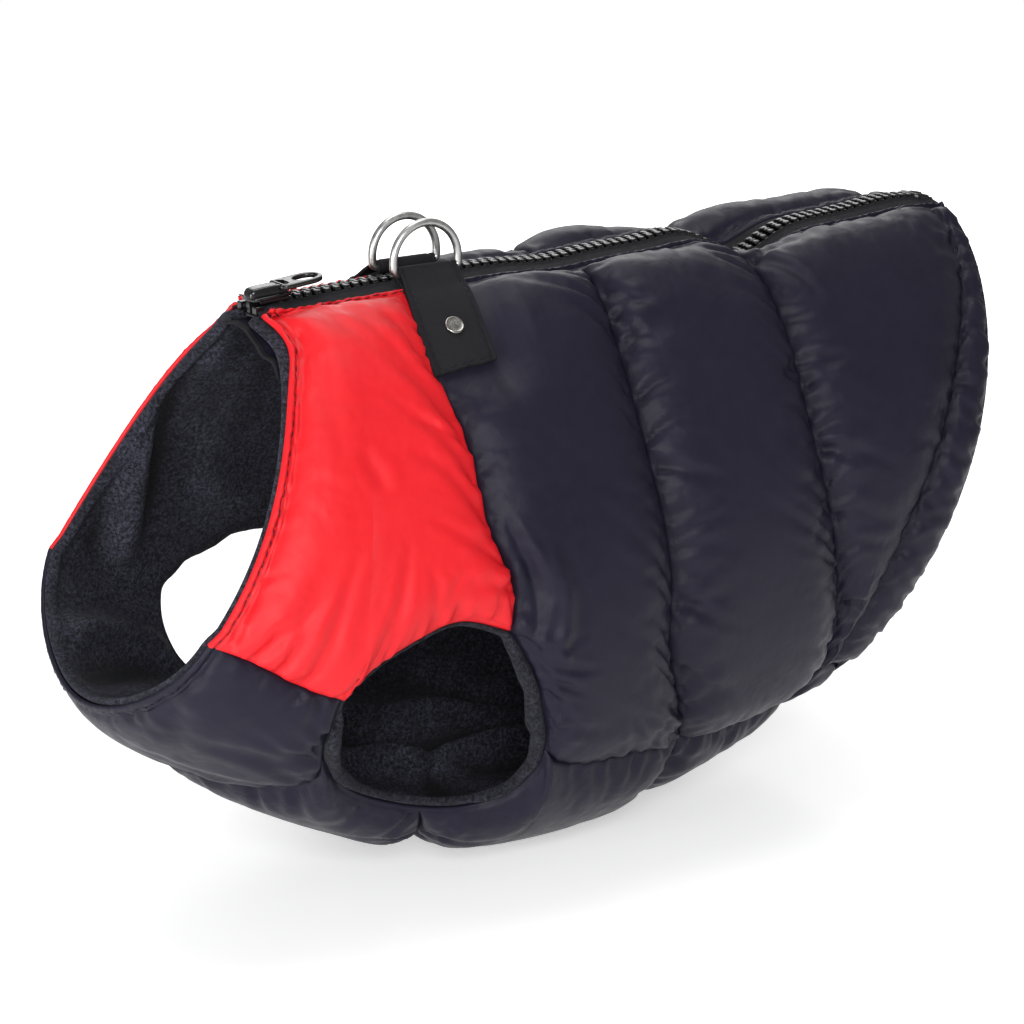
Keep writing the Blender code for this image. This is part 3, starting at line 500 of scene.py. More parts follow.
    def middle_patches(self, fine: int) -> dict[str, np.ndarray]:
        """The chest and belly panels, across both sides."""
        neck, chest_rear, front, *belly = self.belly_lines(fine)
        _, _, _, foot = self.armhole_lines(fine)
        chest, side_1, side_2, side_3, side_4 = self.side_lines(fine)
        half = self.steps.half_arm_foot * fine
        edges = (foot[: half + 1], joined(foot[half:], side_1), side_2, joined(side_3, side_4))
        made = {"chest_panel": patch(chest, other_side(chest), neck, chest_rear)}
        for number, (before, after, edge) in enumerate(zip([front] + belly[:3], belly, edges), start=1):
            made[f"belly_{number}"] = patch(edge, other_side(edge), before, after)
        return made

    def lining_patches(self, fine: int) -> dict[str, np.ndarray]:
        """The lining of the left side, and that of the chest and belly."""
        steps, line = self.steps, self.form.line
        *_, rim = self.down_lines(fine, self.lining_arc)
        neck_top = self.form.beside_zip(self.seam_tops[0], self.lining_arc)
        neck = line((neck_top, *self.neck_route), len(rim) - 1)
        arm_top, arm_rear, arm_front, foot = self.armhole_lines(fine)
        chest, *sides = self.side_lines(fine)
        lower = joined(chest, arm_top, arm_rear, *sides)
        upper = self.zip_line(self.seam_tops[0], self.seam_tops[-1], len(lower) - 1, self.lining_arc)
        edge = joined(chest, arm_front, foot, *sides)
        half = (steps.half_belly + steps.arm_front) * fine
        before = across(line((self.neck_chest, *self.under_neck), half))
        behind = across(line((self.rim_foot, *self.under_rim), half))
        return {
            "side": patch(upper, lower, neck, rim),
            "belly": patch(edge, other_side(edge), before, behind),
        }


# ---------------------------------------------------------------- meshes

# How high, as shares of a cloth's thickness, the loops lie that round its rim.
RIM_LOOPS = (0.8, 0.5, 0.2)


def mirrored(points: np.ndarray) -> np.ndarray:
    """The same points on the other side of the spine."""
    return points * np.array((1, -1, 1))


def grid_faces(rows: int, columns: int, start: int = 0) -> np.ndarray:
    """The quads of a grid whose points are numbered row by row from start."""
    corner = (np.arange(rows - 1)[:, None] * columns + np.arange(columns - 1)[None]).reshape(-1) + start
    return np.stack([corner, corner + columns, corner + columns + 1, corner + 1], axis=-1)


def border(rows: int, columns: int) -> np.ndarray:
    """The numbers of a grid's border points, once round it."""
    index = np.arange(rows * columns).reshape(rows, columns)
    return np.concatenate([index[0, :-1], index[:-1, -1], index[-1, :0:-1], index[:0:-1, 0]])


def grid_lengths(points: np.ndarray) -> tuple[np.ndarray, np.ndarray]:
    """For each point of a grid, its distance down its column and back along its row."""
    down, back = np.zeros(points.shape[:2]), np.zeros(points.shape[:2])
    down[1:] = np.cumsum(np.linalg.norm(np.diff(points, axis=0), axis=-1), axis=0)
    back[:, 1:] = np.cumsum(np.linalg.norm(np.diff(points, axis=1), axis=-1), axis=1)
    return down, back


def cloth_uv(points: np.ndarray) -> np.ndarray:
    """For each point of a grid, its distances back from the middle and down, in metres of cloth."""
    down, back = grid_lengths(points)
    return np.stack([back - back[:, -1:] / 2, down], axis=-1) * MM


def in_scene(name: str, data: bpy.types.ID) -> bpy.types.Object:
    """A new object in the scene, made of this data."""
    made = bpy.data.objects.new(name, data)
    bpy.context.scene.collection.objects.link(made)
    return made


def new_object(
    name: str, points: np.ndarray, faces: list | np.ndarray, smooth: bool = True
) -> bpy.types.Object:
    """A mesh object.

    Args:
        name: The piece's name.
        points: Its points, in millimetres.
        faces: Its faces, as point numbers.
        smooth: Whether it is shaded smooth.

    Returns:
        The object, in the scene.
    """
    spots = np.asarray(points, float).reshape(-1, 3) * MM
    mesh = bpy.data.meshes.new(name)
    mesh.from_pydata(spots.tolist(), [], [list(map(int, face)) for face in faces])
    mesh.update()
    if smooth:
        mesh.shade_smooth()
    return in_scene(name, mesh)


def facing_out(obj: bpy.types.Object, weld: float = 0.0) -> bpy.types.Object:
    """The object with its faces pointing out, and with points nearer than this, in metres, made one."""
    shell = bmesh.new()
    shell.from_mesh(obj.data)
    if weld:
        bmesh.ops.remove_doubles(shell, verts=shell.verts, dist=weld)
    bmesh.ops.recalc_face_normals(shell, faces=shell.faces)
    shell.to_mesh(obj.data)
    shell.free()
    return obj


def set_uv(obj: bpy.types.Object, uv: np.ndarray) -> None:
    """Gives an object a UV map, in metres of cloth, from one value a point."""
    layer = obj.data.uv_layers.new(name="cloth")
    loops = np.zeros(len(obj.data.loops), np.int32)
    obj.data.loops.foreach_get("vertex_index", loops)
    layer.data.foreach_set("uv", uv.reshape(-1, 2)[loops].astype(np.float32).reshape(-1))


def set_value(obj: bpy.types.Object, name: str, values: np.ndarray) -> None:
    """Gives an object a named number at each point."""
    attribute = obj.data.attributes.new(name, "FLOAT", "POINT")
    attribute.data.foreach_set("value", values.reshape(-1).astype(np.float32))


def shell_object(
    name: str,
    outer: np.ndarray,
    inner: np.ndarray,
    values: dict[str, np.ndarray],
    roll: float = 0.35,
) -> bpy.types.Object:
    """A closed piece of cloth between two grids of points, with a rounded rim.

    Args:
        name: The piece's name.
        outer: The outer face's points.
        inner: The inner face's points.
        values: Named numbers at each point of the grid.
        roll: How far the rim bulges, as a share of the cloth's thickness.

    Returns:
        The object.
    """
    rows, columns = outer.shape[:2]
    count = rows * columns
    flat_outer, flat_inner = outer.reshape(-1, 3), inner.reshape(-1, 3)
    ring = border(rows, columns)
    towards = (flat_outer + flat_inner)[ring] / 2
    run = np.roll(towards, -1, axis=0) - np.roll(towards, 1, axis=0)
    thick = flat_outer[ring] - flat_inner[ring]
    out = unit(np.cross(run, thick))
    inside = flat_outer.mean(axis=0) - towards
    if (out * inside).sum() > 0:
        out = -out
    bulge = out * np.linalg.norm(thick, axis=1, keepdims=True) * roll
    loops = [flat_inner[ring] + thick * up + bulge * math.sin(math.pi * up) for up in RIM_LOOPS]
    points = np.concatenate([flat_outer, flat_inner] + loops)
    faces = [grid_faces(rows, columns), grid_faces(rows, columns, count)[:, ::-1]]
    size = len(ring)
    between = [2 * count + size * i + np.arange(size) for i in range(len(RIM_LOOPS))]
    rings = [ring, *between, ring + count]
    for first, second in zip(rings, rings[1:]):
        faces.append(np.stack([first, second, np.roll(second, -1), np.roll(first, -1)], axis=-1))
    obj = facing_out(new_object(name, points, np.concatenate(faces)))
    uv = cloth_uv(outer).reshape(-1, 2)
    set_uv(obj, np.concatenate([uv, uv] + [uv[ring]] * len(RIM_LOOPS)))
    for word, value in values.items():
        flat = value.reshape(-1)
        set_value(obj, word, np.concatenate([flat, flat] + [flat[ring]] * len(RIM_LOOPS)))
    return obj


# ---------------------------------------------------------------- creases and gathers

# The fleece's thickness.
FLEECE_WALL = 1.8


@dataclass(frozen=True)
class Crease:
    """A soft trough in the cloth, or a ridge where depth is negative, with a low lip on either side.

    Its ends are shares of its panel, back from the front edge and down from the top. It bows aside by
    bow millimetres, and if it fades it is deepest at its start.
    """

    start: tuple[float, float]
    end: tuple[float, float]
    depth: float = 0.8
    width: float = 2.6
    bow: float = 0.0
    fades: bool = False
    lip: float = 0.35
    lip_at: float = 1.9
    stretches: int = 14

    def path(self, points: np.ndarray) -> np.ndarray:
        """The crease's line over a panel's grid."""
        rows, columns = points.shape[:2]
        t = np.linspace(0, 1, self.stretches + 1)
        back, down = (first + (last - first) * t for first, last in zip(self.start, self.end))
        r = np.clip(down * (rows - 1), 0, rows - 1.001)
        c = np.clip(back * (columns - 1), 0, columns - 1.001)
        i, j = r.astype(int), c.astype(int)
        a, b = (r - i)[:, None], (c - j)[:, None]
        upper = points[i, j] * (1 - b) + points[i, j + 1] * b
        lower = points[i + 1, j] * (1 - b) + points[i + 1, j + 1] * b
        path = upper * (1 - a) + lower * a
        if self.bow:
            row, column = i[self.stretches // 2], j[self.stretches // 2]
            here = points[row, column]
            off = np.cross(points[row + 1, column] - here, points[row, column + 1] - here)
            aside = unit(np.cross(off, path[-1] - path[0]))
            path = path + aside * (self.bow * np.sin(np.pi * t))[:, None]
        return path

    def offsets(self, points: np.ndarray) -> np.ndarray:
        """How far each point of a panel's grid is lowered."""
        best, where = nearest_on(self.path(points), points.reshape(-1, 3))
        strength = (1 - where) ** 0.8 if self.fades else np.sin(np.pi * np.clip(where, 0, 1)) ** 0.7
        narrow = self.width * (0.6 + 0.4 * strength)
        shape = bell(best, 0.0, narrow) - self.lip * bell(best, self.lip_at * narrow, narrow)
        return (self.depth * strength * shape).reshape(points.shape[:2])


@dataclass(frozen=True)
class Fold:
    """A soft fold of the lining: a ridge into the vest, or a hollow where rise is negative."""

    places: tuple[tuple[float, float], ...]
    rise: float
    width: float
    stretches: int = 40

    def offsets(self, form: VestForm, points: np.ndarray, flipped: bool) -> np.ndarray:
        """How far each point of a grid is moved into the vest.

        Args:
            form: The base surface.
            points: The grid, on the lining's inner face.
            flipped: Whether the fold is taken to the garment's other side.

        Returns:
            The offsets.
        """
        line = form.line(self.places, self.stretches)
        if flipped:
            line = other_side(line)
        best, where = nearest_on(form.raised(line, -FLEECE_WALL), points.reshape(-1, 3))
        strength = np.sin(np.pi * np.clip(0.04 + 0.92 * where, 0, 1)) ** 0.5
        return (self.rise * strength * bell(best, 0.0, self.width)).reshape(points.shape[:2])


class Rim(Enum):
    """One of a panel's four edges."""

    FRONT = 0
    REAR = 1
    TOP = 2
    FOOT = 3


@dataclass(frozen=True)
class Gathers:
    """Short puckers that run into a panel from one of its edges, uneven in length, depth and spacing."""

    rim: Rim
    spacing: float = 8.0
    length: float = 10.0
    depth: float = 0.5
    start: float = 0.0
    end: float = 1.0
    lean: float = 0.0
    spacings: tuple[float, float] = (0.45, 1.6)
    lengths: tuple[float, float] = (0.4, 1.7)
    depths: tuple[float, float] = (0.35, 1.5)
    widths: tuple[float, float] = (0.8, 1.7)
    leans: tuple[float, float] = (-0.45, 0.45)
    widens: float = 14.0
    lip: float = 0.4
    lip_at: float = 1.8
    edge: float = 1.2

    def offsets(
        self, distances: list[np.ndarray], run: np.ndarray, rng: np.random.Generator
    ) -> np.ndarray:
        """How far each point of a panel's grid is lowered.

        Args:
            distances: Each point's distance from the panel's four edges, in the order of Rim.
            run: Each point's distance along this edge.
            rng: The source of the unevenness.

        Returns:
            The offsets.
        """
        inward = distances[self.rim.value]
        total = float(run.max())
        at = self.start * total
        offsets = np.zeros_like(inward)
        while at < self.end * total:
            at += self.spacing * rng.uniform(*self.spacings)
            length = self.length * rng.uniform(*self.lengths)
            depth = self.depth * rng.uniform(*self.depths)
            width = rng.uniform(*self.widths) * (1 + inward / self.widens)
            slant = self.lean + rng.uniform(*self.leans)
            aside = (run - at - slant * inward) / width
            shape = bell(aside, 0.0, 1.0) - self.lip * bell(np.abs(aside), self.lip_at, 1.0)
            offsets += depth * shape * bell(inward, 0.0, length)
        return offsets * np.clip(inward / self.edge, 0, 1)


# ---------------------------------------------------------------- padded panels


@dataclass(frozen=True)
class Press:
    """A place where a panel's padding is drawn down, as shares of the panel back and down."""

    at: tuple[float, float]
    radius: float
    amount: float


@dataclass(frozen=True)
class PanelSpec:
    """One padded panel: its crown's height over the lining, its edges and what shows on its face."""

    crown: float
    edges: tuple[Edge, Edge, Edge, Edge] = (Edge.SEAM, Edge.SEAM, Edge.SEAM, Edge.SEAM)
    gathers: tuple[Gathers, ...] = ()
    creases: tuple[Crease, ...] = ()
    presses: tuple[Press, ...] = ()
    right_presses: tuple[Press, ...] = ()
    shoulder: float = 15.0
    slack: float = 0.06
    fill: float = 0.6


# The panels by pattern piece: crown, edges in the order of Rim, gathers, and creases. The places of
# creases and presses are shares of the panel, back from its front edge and down from its top.
PLAIN, TURNED = Edge.SEAM, Edge.TURNED
FRONT, REAR, TOP, FOOT = Rim
SPECS = {
    "yoke": PanelSpec(
        6.9,
        (TURNED, PLAIN, TURNED, PLAIN),
        (
            Gathers(FRONT, 9, 8, 0.4),
            Gathers(REAR, 10, 13, 0.6),
            Gathers(TOP, 8, 9, 0.5),
            Gathers(FOOT, 9, 14, 1.0),
        ),
        (
            Crease((0.04, 0.03), (0.62, 0.22), 0.9, 3.2, 3.0, True),
            Crease((0.10, 0.03), (0.88, 0.16), 0.8, 3.0, 2.0, True),
            Crease((0.06, 0.10), (0.40, 0.36), 0.9, 3.4, -2.0, True),
            Crease((0.04, 0.22), (0.30, 0.46), 0.7, 3.2, 2.0, True),
            Crease((0.30, 0.98), (0.40, 0.62), 1.0, 2.4, 2.0, True),
            Crease((0.52, 0.99), (0.64, 0.74), 1.0, 2.2, 0.0, True),
            Crease((0.74, 0.99), (0.70, 0.82), 0.8, 2.0, 0.0, True),
            Crease((0.12, 0.97), (0.30, 0.74), 0.9, 2.0, 1.0, True),
            Crease((0.40, 0.42), (0.52, 0.58), 0.5, 2.4, 1.0),
            Crease((0.97, 0.42), (0.45, 0.05), 0.8, 2.2, -2.0, True),
            Crease((0.98, 0.50), (0.55, 0.16), 0.9, 2.2, -2.0, True),
            Crease((0.98, 0.30), (0.66, 0.03), 0.7, 2.0, -1.0, True),
            Crease((0.98, 0.60), (0.60, 0.34), 0.8, 2.0, -1.0, True),
            Crease((0.98, 0.70), (0.66, 0.50), 0.7, 2.0, -1.0, True),
            Crease((0.98, 0.82), (0.72, 0.70), 0.7, 2.0, 1.0, True),
        ),
        right_presses=(
            Press((0.30, 0.05), 19.0, 0.85),
            Press((0.55, 0.05), 17.0, 0.60),
            Press((0.80, 0.05), 19.0, 0.85),
        ),
    ),
    "body_1": PanelSpec(
        7.9,
        (PLAIN, PLAIN, TURNED, PLAIN),
        (
            Gathers(FRONT, 9, 9, 0.5, 0.2, 0.62),
            Gathers(FRONT, 7, 13, 1.0, 0.62, 0.98),
            Gathers(REAR, 9, 15, 0.9, lean=-0.7),
            Gathers(TOP, 9, 7, 0.45, 0.35),
            Gathers(FOOT, 9, 10, 0.9),
        ),
        (
            Crease((0.09, 0.46), (0.07, 0.72), 2.0, 2.0, 2.0),
            Crease((0.04, 0.64), (0.20, 0.50), 1.1, 1.8, 1.0, True),
            Crease((0.27, 0.50), (0.22, 0.74), -1.2, 2.6, 1.0),
            Crease((0.02, 0.70), (0.40, 0.66), 1.5, 1.8, -1.5, True),
            Crease((0.02, 0.73), (0.46, 0.74), 1.4, 1.8, 1.0, True),
            Crease((0.02, 0.77), (0.36, 0.82), 1.2, 1.7, 1.0, True),
            Crease((0.02, 0.84), (0.30, 0.92), 1.0, 1.7, 1.0, True),
            Crease((0.98, 0.97), (0.60, 0.86), 1.6, 2.4, 2.0, True),
            Crease((0.97, 0.90), (0.74, 0.82), 1.0, 2.0, -1.0, True),
            Crease((0.60, 0.99), (0.56, 0.86), 1.0, 2.0, 0.0, True),
        ),
    ),
    "body_2": PanelSpec(
        8.4,
        (PLAIN, PLAIN, TURNED, PLAIN),
        (
            Gathers(FRONT, 9, 12, 0.9, lean=0.3),
            Gathers(REAR, 9, 14, 0.9, lean=-0.6),
            Gathers(TOP, 9, 7, 0.45),
            Gathers(FOOT, 11, 8, 0.6),
        ),
        (
            Crease((0.02, 0.10), (0.26, 0.17), 1.3, 2.0, 1.0, True),
            Crease((0.02, 0.15), (0.18, 0.24), 0.9, 1.8, 1.0, True),
            Crease((0.02, 0.42), (0.38, 0.46), 1.3, 2.2, -1.0, True),
            Crease((0.02, 0.55), (0.30, 0.52), 1.1, 1.9, 1.0, True),
            Crease((0.02, 0.66), (0.32, 0.73), 1.2, 2.2, 0.0, True),
            Crease((0.02, 0.80), (0.28, 0.90), 1.3, 2.6, 1.0, True),
            Crease((0.98, 0.30), (0.72, 0.34), 1.0, 2.0, 1.0, True),
            Crease((0.98, 0.56), (0.76, 0.62), 0.9, 2.0, 0.0, True),
        ),
        presses=(Press((0.86, 0.05), 17.0, 0.9),),
        right_presses=(Press((0.40, 0.12), 18.0, -0.40),),
    ),
    "body_3": PanelSpec(
        7.9,
        (PLAIN, PLAIN, TURNED, PLAIN),
        (
            Gathers(FRONT, 9, 13, 1.0, lean=0.3),
            Gathers(REAR, 10, 9, 0.6),
            Gathers(TOP, 9, 7, 0.45),
        ),
        (
            Crease((0.01, 0.08), (0.20, 0.20), 1.4, 2.4, 2.0, True),
            Crease((0.02, 0.34), (0.36, 0.30), 1.5, 2.2, 1.0, True),
            Crease((0.02, 0.46), (0.34, 0.50), 1.3, 2.0, -1.0, True),
            Crease((0.02, 0.60), (0.40, 0.64), 1.2, 2.0, 1.0, True),
            Crease((0.04, 0.78), (0.50, 0.82), 1.0, 1.8, 0.0, True),
            Crease((0.98, 0.12), (0.82, 0.16), 0.8, 1.8, 0.0, True),
        ),
        presses=(Press((0.02, 0.06), 10.0, 0.5),),
        right_presses=(Press((0.35, 0.12), 20.0, -0.45), Press((0.75, 0.12), 16.0, -0.3)),
    ),
    "hem_band": PanelSpec(
        5.4,
        (PLAIN, Edge.ROLLED, TURNED, PLAIN),
        (
            Gathers(FRONT, 9, 11, 0.7),
            Gathers(REAR, 9, 10, 0.6),
        ),
        shoulder=8.0,
        slack=0.10,
        fill=0.4,
    ),
    "chest_panel": PanelSpec(
        6.4,
        (TURNED, PLAIN, PLAIN, PLAIN),
        (
            Gathers(FRONT, 9, 6, 0.4),
            Gathers(REAR, 9, 14, 1.0),
            Gathers(TOP, 8, 15, 0.9),
            Gathers(FOOT, 9, 15, 0.9),
        ),
        (
            Crease((0.98, 0.12), (0.20, 0.22), 1.3, 3.6, 2.0, True),
            Crease((0.98, 0.24), (0.20, 0.42), 1.3, 4.0, 3.0, True),
            Crease((0.10, 0.18), (0.50, 0.40), 1.0, 4.0, 2.0, True),
        ),
    ),
    "belly_1": PanelSpec(
        7.8,
        (PLAIN,) * 4,
        (
            Gathers(FRONT, 9, 14, 1.0),
            Gathers(REAR, 8, 16, 1.2),
            Gathers(TOP, 8, 11, 1.0),
            Gathers(FOOT, 8, 11, 1.0),
        ),
    ),
    "belly_2": PanelSpec(
        7.8,
        (PLAIN,) * 4,
        (
            Gathers(FRONT, 8, 16, 1.2),
            Gathers(REAR, 10, 15, 0.9),
            Gathers(TOP, 9, 13, 0.9),
            Gathers(FOOT, 9, 13, 0.9),
        ),
    ),
    "belly_3": PanelSpec(
        7.3,
        (PLAIN,) * 4,
        (
            Gathers(FRONT, 10, 15, 0.9),
            Gathers(REAR, 10, 13, 0.9),
            Gathers(TOP, 9, 13, 0.9),
            Gathers(FOOT, 9, 13, 0.9),
        ),
    ),
    "belly_4": PanelSpec(
        5.4,
        (PLAIN, Edge.ROLLED, PLAIN, PLAIN),
        (
            Gathers(FRONT, 7, 12, 0.9),
            Gathers(REAR, 8, 10, 0.8),
        ),
        shoulder=8.0,
        slack=0.10,
        fill=0.4,
    ),
}


@dataclass(frozen=True)
class Puffing:
    """How the panels' cloth is simulated, and how much of what it does is kept.

    Each panel is pinned at its seams, cut larger than its place and blown up, at an enlarged size that
    suits the solver. What is kept of its creases is gain, of its even swelling kept_swell, and at most
    cap millimetres of both.
    """

    pressure: float = 4.0
    frames: int = 20
    quality: int = 5
    mass: float = 0.15
    stretch: float = 12.0
    shear: float = 4.0
    bending: float = 0.08
    air: float = 2.0
    enlarged: float = 10.0
    unevenness: float = 0.10
    swell_passes: int = 60
    cap: float = 2.2
    gain: float = 0.55
    kept_swell: float = 0.25
    smooth_panels: tuple[str, ...] = ("yoke", "chest_panel")
    smooth_share: float = 0.5


class PuffSimulation:
    """The cloth simulation of all the panels, stepped together."""

    def __init__(self, puffing: Puffing) -> None:
        """Starts with no panels."""
        self.puffing = puffing
        self.waiting: dict[str, tuple[bpy.types.Object, np.ndarray]] = {}

    def add(self, name: str, grid: np.ndarray, slack: float, seed: int) -> None:
        """Adds a panel.

        Args:
            name: The panel's name.
            grid: Its outer face's points, in millimetres.
            slack: How much larger its cloth is than its place.
            seed: The seed of its unevenness.
        """
        rows, columns = grid.shape[:2]
        rng = np.random.default_rng(seed)
        start = grid.copy()
        start[1:-1, 1:-1] += rng.normal(0, self.puffing.unevenness, (rows - 2, columns - 2, 3))
        obj = new_object(f"{name} cloth", start * self.puffing.enlarged, grid_faces(rows, columns), False)
        pins = obj.vertex_groups.new(name="seams")
        pins.add([int(i) for i in border(rows, columns)], 1.0, "REPLACE")
        cloth = obj.modifiers.new("cloth", "CLOTH")
        cloth.point_cache.frame_start = 1
        cloth.point_cache.frame_end = self.puffing.frames
        cloth.collision_settings.use_collision = False
        cloth.settings.effector_weights.gravity = 0.0
        settings = {
            "quality": self.puffing.quality,
            "mass": self.puffing.mass,
            "tension_stiffness": self.puffing.stretch,
            "compression_stiffness": self.puffing.stretch,
            "shear_stiffness": self.puffing.shear,
            "bending_stiffness": self.puffing.bending,
            "air_damping": self.puffing.air,
            "vertex_group_mass": "seams",
            "use_pressure": True,
            "uniform_pressure_force": self.puffing.pressure,
            "shrink_min": -slack,
        }
        for word, value in settings.items():
            setattr(cloth.settings, word, value)
        self.waiting[name] = (obj, grid)

    def run(self) -> dict[str, np.ndarray]:
        """Steps the simulation and takes it down.

        Returns:
            For each panel, how far its points moved out of the garment, in millimetres.
        """
        scene = bpy.context.scene
        for frame_number in range(1, self.puffing.frames + 1):
            scene.frame_set(frame_number)
        graph = bpy.context.evaluated_depsgraph_get()
        moved = {}
        for name, (obj, grid) in self.waiting.items():
            mesh = obj.evaluated_get(graph).data
            flat = np.zeros(len(mesh.vertices) * 3, np.float32)
            mesh.vertices.foreach_get("co", flat)
            there = flat.reshape(grid.shape).astype(float) / (self.puffing.enlarged * MM)
            moved[name] = self.measured(grid, there)
        for obj, _ in self.waiting.values():
            bpy.data.objects.remove(obj)
        scene.frame_set(1)
        return moved

    def measured(self, before: np.ndarray, after: np.ndarray) -> np.ndarray:
        """The simulated creases: what the cloth did beyond its even swelling, which is kept in part."""
        out = ((after - before) * grid_normals(before)).sum(axis=-1)
        swell = softened(out, self.puffing.swell_passes)
        crease = self.puffing.gain * (out - swell) + self.puffing.kept_swell * swell
        return self.puffing.cap * np.tanh(crease / self.puffing.cap)


def grid_normals(grid: np.ndarray) -> np.ndarray:
    """Unit vectors off a grid of points whose rows run down and columns back, out of the garment."""
    down, back = np.gradient(grid, axis=0), np.gradient(grid, axis=1)
    return unit(np.cross(down, back))


def rim_distances(points: np.ndarray) -> tuple[list[np.ndarray], np.ndarray, np.ndarray]:
    """Distances over a panel's grid.

    Args:
        points: The grid.

    Returns:
        Each point's distance from the front, rear, top and foot edges, and its distance down its
        column and back along its row.
    """
    down, back = grid_lengths(points)
    return [back, back[:, -1:] - back, down, down[-1:] - down], down, back


def dome(distance: np.ndarray, shoulder: float) -> np.ndarray:
    """A quarter round: 0 at a seam, 1 a shoulder's width from it."""
    return np.sqrt(np.clip(1 - (1 - np.clip(distance / shoulder, 0, 1)) ** 2, 0, 1))


@dataclass
class PaddedPanels:
    """The wadded nylon panels of the vest.

    Heights are over the form. A turned edge has a ripple and a groove under its stitches, and the ring's
    strap presses the front panel down. seeds are those of the left, the right and the middle panels.
    """

    pattern: Pattern
    puffing: Puffing = Puffing()
    fine: int = 4
    edge_height: float = 1.8
    back_height: float = 0.3
    seam_gap: float = 0.08
    stitch_groove: float = 0.7
    stitch_at: float = 1.6
    groove_width: float = 0.4
    ripple: float = 0.42
    ripple_at: float = 0.75
    ripple_width: float = 0.5
    ripple_waves: tuple[tuple[float, float], ...] = ((0.45, 2.9), (0.3, 7.7))
    strap_press: float = 0.7
    strap_back: tuple[float, float] = (0.54, 0.22)
    strap_down: tuple[float, float] = (0.31, 0.11)
    creased: float = 0.35
    creased_reach: float = 12.0
    seam_clear: float = 1.5
    seam_reach: float = 9.0
    seeds: tuple[int, int, int] = (10, 70, 40)
    near_seam: tuple[float, ...] = (0.3, 0.7, 1.2, 1.8, 2.6, 3.5)
    near_turned: tuple[float, ...] = (0.25, 0.5, 0.75, 1.0, 1.3, 1.6, 1.9, 2.2, 2.5, 2.9, 3.4, 4.0, 4.8)
    plain: dict[str, np.ndarray] = field(default_factory=dict)
    skins: dict[str, np.ndarray] = field(default_factory=dict)

    def closer(self, name: str, points: np.ndarray) -> tuple[np.ndarray, np.ndarray]:
        """Where a panel's grid is read to draw its edges finely: the rows, then the columns."""
        edges = SPECS[name].edges
        near = [self.near_seam if edge is Edge.SEAM else self.near_turned for edge in edges]
        down = np.linalg.norm(points[1] - points[0], axis=-1).mean()
        back = np.linalg.norm(points[:, 1] - points[:, 0], axis=-1).mean()
        rows = closer_lines(points.shape[0], float(down), near[2], near[3])
        return rows, closer_lines(points.shape[1], float(back), near[0], near[1])

    def heights(self, name: str, points: np.ndarray, right: bool) -> np.ndarray:
        """The height of each point of a panel's outer face over the lining."""
        spec = SPECS[name]
        distances, down, back = rim_distances(points)
        loft = 1.0
        for first, second in ((0, 1), (2, 3)):
            ends = [distances[i] - spec.edges[i].value for i in (first, second)]
            loft = loft * dome(np.minimum(*ends), spec.shoulder)
        if name == "body_1":
            loft = loft * self.under_strap(distances)
        for press in spec.presses + (spec.right_presses if right else ()):
            row, column = (int(round(at * (n - 1))) for at, n in zip(press.at[::-1], points.shape[:2]))
            far = np.linalg.norm(points - points[row, column], axis=-1)
            loft = loft * (1 - press.amount * bell(far, 0.0, press.radius))
        height = self.edge_height + (spec.crown - self.edge_height) * loft
        for i, edge in enumerate(spec.edges):
            if edge in (Edge.TURNED, Edge.ROLLED):
                run = down if i < 2 else back
                uneven = 1.0
                for size, length in self.ripple_waves:
                    uneven = uneven + size * np.sin(run * 2 * np.pi / length)
                height = height + self.ripple * uneven * bell(distances[i], self.ripple_at, self.ripple_width)
            if edge is Edge.TURNED:
                groove = bell(distances[i], self.stitch_at, self.groove_width)
                height = height - self.stitch_groove * groove
        return height

    def under_strap(self, distances: list[np.ndarray]) -> np.ndarray:
        """The share of the front panel's loft that the ring's strap leaves."""
        under = 1.0
        for (first, second), (end, soft) in (((0, 1), self.strap_back), ((2, 3), self.strap_down)):
            share = distances[first] / (distances[first] + distances[second])
            under = under * np.clip((end - share) / soft, 0, 1)
        return 1 - self.strap_press * under * under * (3 - 2 * under)

    def face(self, name: str, places: np.ndarray, right: bool) -> np.ndarray:
        """A panel's outer face, without its creases."""
        form = self.pattern.form
        points = form.raised(places, self.heights(name, form.raised(places, 0.0), right))
        return self.drawn_in(points)

    def drawn_in(self, points: np.ndarray) -> np.ndarray:
        """The grid with its edges a seam's gap off the seam lines."""
        for axis in (0, 1):
            lines = np.moveaxis(points.copy(), axis, 0)
            for edge, inner in ((0, 1), (-1, -2)):
                lines[edge] += self.seam_gap * unit(lines[inner] - lines[edge])
            points = np.moveaxis(lines, 0, axis)
        return points

    def creases(self, name: str, outer: np.ndarray, moved: np.ndarray | None, seed: int) -> np.ndarray:
        """How far a panel's points are raised by its creases, simulated and placed, and its gathers."""
        spec = SPECS[name]
        rng = np.random.default_rng(seed)
        distances, down, back = rim_distances(outer)
        offset = np.zeros(outer.shape[:2])
        for gathers in spec.gathers:
            run = down if gathers.rim in (Rim.FRONT, Rim.REAR) else back
            offset -= gathers.offsets(distances, run, rng)
        for crease in spec.creases:
            offset -= crease.offsets(outer)
        nearest = np.minimum.reduce(distances)
        if moved is not None:
            share = self.puffing.smooth_share if name in self.puffing.smooth_panels else 1.0
            kept = self.creased + (1 - self.creased) * np.exp(-nearest / self.creased_reach)
            offset += share * doubled(moved[..., None])[..., 0] * kept
        if name == "body_1":
            offset *= (self.under_strap(distances) - 1 + self.strap_press) / self.strap_press
        return offset

    def jobs(self) -> list[tuple[str, str, bool, int]]:
        """Each panel's node, its pattern piece, whether it is mirrored, and its seed."""
        left, right, middle = self.seeds
        found = []
        for number, name in enumerate(SPECS):
            if name.startswith(("chest", "belly")):
                found.append((name, name, False, middle + number))
            else:
                found.append((f"left_{name}", name, False, left + number))
                found.append((f"right_{name}", name, True, right + number))
        return found

